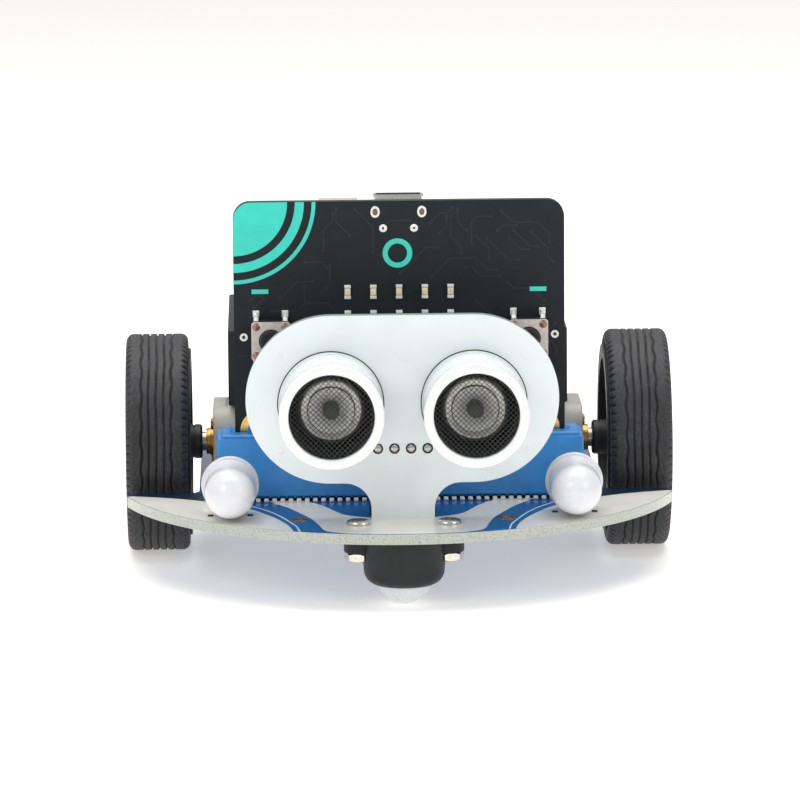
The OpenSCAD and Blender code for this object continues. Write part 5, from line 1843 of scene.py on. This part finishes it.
def make_power_switch():
    """Folded metal case with end tabs, and the slider with three grip ribs."""
    low, high = span("power_switch")
    bm, legs = bmesh.new(), bmesh.new()
    x, y = (low.x + high.x) / 2, (low.y + high.y) / 2
    add_open_box(bm, low, high, (x - 2.1, y - 0.85, BOARD_TOP + 1.6), (x + 2.1, y + 0.85, high.z), 2, 0.16)
    for k in range(3):
        at = x + (k - 1) * 2.5
        add_box(legs, (at - 0.25, low.y - 0.9, BOARD_TOP), (at + 0.25, low.y + 0.1, BOARD_TOP + 0.3), 0.06,
                2)
    for s in (-1, 1):
        x0, x1 = sorted((x + s * 4.2, x + s * 4.9))
        add_box(legs, (x0, y - 0.6, BOARD_TOP), (x1, y + 0.6, BOARD_TOP + 0.3), 0.08, 2)
    piece("switch_case", bm, MATERIAL["steel"], replaces=["power_switch"])
    piece("switch_legs", legs, MATERIAL["tinned_metal"])
    s_low, s_high = span("power_switch_slider")
    bm = bmesh.new()
    add_box(bm, s_low, (s_high.x, s_high.y, s_high.z - 0.3), 0.12, 2)
    for k in range(3):
        at = s_low.x + (s_high.x - s_low.x) * (k + 0.5) / 3
        add_box(bm, (at - 0.2, s_low.y + 0.05, s_high.z - 0.5), (at + 0.2, s_high.y - 0.05, s_high.z), 0.08,
                2)
    piece("switch_slider", bm, MATERIAL["black_plastic"], body="power_slider",
          replaces=["power_switch_slider"])


HEADER_ROWS = ((-8.89, 3), (0.0, 3), (10.16, 4))
PIN_PITCH = 2.54


def make_headers():
    """Right-angle headers: a block for each pin with chamfered flanks, and bent square pins."""
    blocks, pins, pads = bmesh.new(), bmesh.new(), bmesh.new()
    low, high = span("header_blocks")
    y = (low.y + high.y) / 2
    tip = span("header_pins")[1].y
    for centre, count in HEADER_ROWS:
        for k in range(count):
            x = centre + (k + 0.5 - count / 2) * PIN_PITCH
            add_box(blocks, (x - 1.27, low.y, BOARD_TOP), (x + 1.27, high.y, high.z), 0.34, 1)
            path = [(x, y - 2.6, BOARD_BOTTOM - 0.6), (x, y - 2.6, BOARD_TOP + 0.8),
                    (x, y - 2.2, BOARD_TOP + 1.25),
                    (x, tip - 0.35, BOARD_TOP + 1.25)]
            add_tube(pins, path, 0.42, 4)
            add_lathe(pads, [(0.85, 0.0), (0.7, 0.08), (0.45, 0.35), (0.3, 0.45)], 20,
                      Matrix.Translation((x, y - 2.6, BOARD_TOP)))
            add_lathe(pads, [(0.85, 0.0), (0.7, -0.1), (0.45, -0.4), (0.3, -0.55)], 20,
                      Matrix.Translation((x, y - 2.6, BOARD_BOTTOM)))
    piece("header_bodies", blocks, MATERIAL["black_plastic"],
          replaces=["header_blocks"])
    piece("header_square_pins", pins, MATERIAL["gold_plate"], smooth=20,
          replaces=["header_pins"])
    piece("header_solder", pads, MATERIAL["solder"])


def make_buzzer():
    low, high = span("buzzer")
    centre = (low + high) / 2
    radius, height = (high.x - low.x) / 2, high.z - low.z
    profile = [(radius - 0.1, 0), (radius, 0.15), (radius, height * 0.35), (radius - 0.12, height * 0.37),
               (radius - 0.12, height * 0.42), (radius, height * 0.44), (radius, height - 0.4),
               (radius - 0.35, height), (1.35, height), (1.1, height - 0.12), (1.0, height - 0.7),
               (0, height - 0.7)]
    bm = bmesh.new()
    add_lathe(bm, profile, 64, Matrix.Translation((centre.x, centre.y, low.z)))
    piece("buzzer_case", bm, MATERIAL["black_plastic"], replaces=["buzzer"])


def make_infrared_receiver():
    """Dark moulded receiver with a lens dome facing the tail and three legs."""
    low, high = span("infrared_receiver")
    x = (low.x + high.x) / 2
    bm, legs = bmesh.new(), bmesh.new()
    face = high.y - 1.0
    add_box(bm, (low.x, low.y, BOARD_TOP + 0.8), (high.x, face, high.z), 0.25, 3)
    dome = [(1.9, 0)] + [(1.9 * math.cos(a),
                          0.95 * math.sin(a) + 0.02) for a in (math.pi / 2 * k / 8 for k in range(9))]
    place = facing_back(x, face, BOARD_TOP + 3.6)
    add_lathe(bm, dome, 48, place)
    for k in (-1, 0, 1):
        at = x + 1.5 * k
        add_box(legs, (at - 0.22, low.y + 0.9, BOARD_TOP), (at + 0.22, low.y + 1.4, BOARD_TOP + 1.0), 0.05,
                1)
    piece("receiver_body", bm, MATERIAL["chip_black"], replaces=["infrared_receiver"])
    piece("receiver_legs", legs, MATERIAL["tinned_metal"])


def make_underside_sensors():
    """Two line sensors with paired windows and two light packages with round diffusers."""
    cases, windows, lenses, frames = bmesh.new(), bmesh.new(), bmesh.new(), bmesh.new()
    low = span("underside_sensors")[0]
    line_y = low.y + 1.35
    for side in (-1, 1):
        x0, x1 = sorted((side * 5.0, side * 8.2))
        add_box(cases, (x0, low.y, BOARD_BOTTOM - 1.5), (x1, low.y + 2.7, BOARD_BOTTOM), 0.15, 2)
        for k, bm in ((-0.75, windows), (0.75, lenses)):
            down = Matrix.Translation(((x0 + x1) / 2 + k, line_y,
                                       BOARD_BOTTOM - 1.5)) @ Matrix.Rotation(math.pi, 4, "X")
            add_lathe(bm, [(0.55, 0.0), (0.5, 0.05), (0.3, 0.09), (0, 0.1)], 24, down)
        x2, x3 = sorted((side * 22.0, side * 27.0))
        lamp_y = low.y + 6
        add_box(frames, (x2, lamp_y, low.z + 0.05), (x3, lamp_y + 5, BOARD_BOTTOM), 0.2, 2)
        down = Matrix.Translation(((x2 + x3) / 2, lamp_y + 2.5, low.z + 0.05)) @ Matrix.Rotation(math.pi, 4,
            "X")
        add_annulus(frames, 1.75, 1.95, -0.05, 0.04, down, 48)
        add_lathe(lenses, [(1.74, 0.0), (1.4, 0.03), (0, 0.04)], 40, down)
    piece("line_sensor_cases", cases, MATERIAL["chip_black"],
          replaces=["underside_sensors"])
    piece("line_sensor_emitters", windows, MATERIAL["lamp_diffuser"])
    piece("under_light_frames", frames, MATERIAL["can_white"])
    piece("under_light_lenses", lenses, MATERIAL["yellow_plastic"])


# ---------------------------------------------------------------- sensor header

def make_sensor_header():
    """Bent square pins from the mask down into a four-way socket, and the moulded pin block."""
    pins, block, socket = bmesh.new(), bmesh.new(), bmesh.new()
    block_low, block_high = span("sensor_pin_block")
    socket_low, socket_high = span("sensor_socket")
    y = (socket_low.y + socket_high.y) / 2
    foot = span("sensor_pins")[0].z
    for x in PIN_XS:
        path = [(x, MASK_FRONT - 0.1, SOLDER_Z), (x, y - 0.7, SOLDER_Z), (x, y - 0.2, SOLDER_Z - 0.2),
                (x, y, SOLDER_Z - 0.7), (x, y, foot)]
        add_tube(pins, path, 0.42, 4)
        add_lathe(pins, [(0.85, 0.0), (0.8, 0.05), (0.45, 0.3), (0.35, 0.5)], 24,
                  facing_back(x, MASK_BACK, SOLDER_Z))
        add_box(block, (x - 1.275, block_low.y, block_low.z), (x + 1.275, block_high.y, block_high.z), 0.3,
                1)
        for y0, y1 in ((socket_low.y, y - 0.5), (y + 0.5, socket_high.y)):
            add_box(socket, (x - 1.275, y0, socket_low.z), (x + 1.275, y1, socket_high.z), 0.12, 2)
        for s in (-1, 1):
            x0, x1 = sorted((x + s * 0.5, x + s * 1.275))
            add_box(socket, (x0, y - 0.55, socket_low.z), (x1, y + 0.55, socket_high.z - 0.25), 0.02, 1)
    piece("sensor_square_pins", pins, MATERIAL["gold_plate"], smooth=20,
          replaces=["sensor_pins"])
    piece("sensor_pin_spacer", block, MATERIAL["black_plastic"],
          replaces=["sensor_pin_block"])
    piece("sensor_socket_shell", socket, MATERIAL["black_plastic"],
          replaces=["sensor_socket"])


make_board_art()
make_plated_holes()
make_board_traces()
make_small_parts()
make_board_chips()
make_cans()
make_window_lining()
make_horns()
make_wire_meshes()
make_mask_details()
make_sensor_back()
make_fasteners()
make_caster()
make_headlight("left_headlight")
make_headlight("right_headlight")
make_headlight_leads()
for side_name, side in SIDES:
    make_tyre(side_name, side)
    make_rim(side_name, side)
    make_motor(side_name, side)
    make_gearbox_trim(side_name, side)
    make_bracket(side_name, side)
make_sensor_header()
make_card_art()
make_card_surface()
make_card_lights()
make_buttons()
make_reset_switch()
make_usb()
make_card_chips()
make_lead_socket("card_battery_socket", (1.0, 0.8, 1.4), (6.8, 4.0, 7.6), 2,
                 ((3.9, 2.4, 1.2), (3.9, 2.4, 6.2)))
make_lead_socket("battery_socket", (1.0, 1.4, 0.8), (6.8, 7.6, 4.0), 1, ((3.9, 1.2, 2.4), (3.9, 6.2, 2.4)))
make_edge_connector()
make_edge_contacts()
make_battery_box()
make_cells()
make_cell_contacts()
make_foam()
make_power_switch()
make_headers()
make_buzzer()
make_infrared_receiver()
make_underside_sensors()
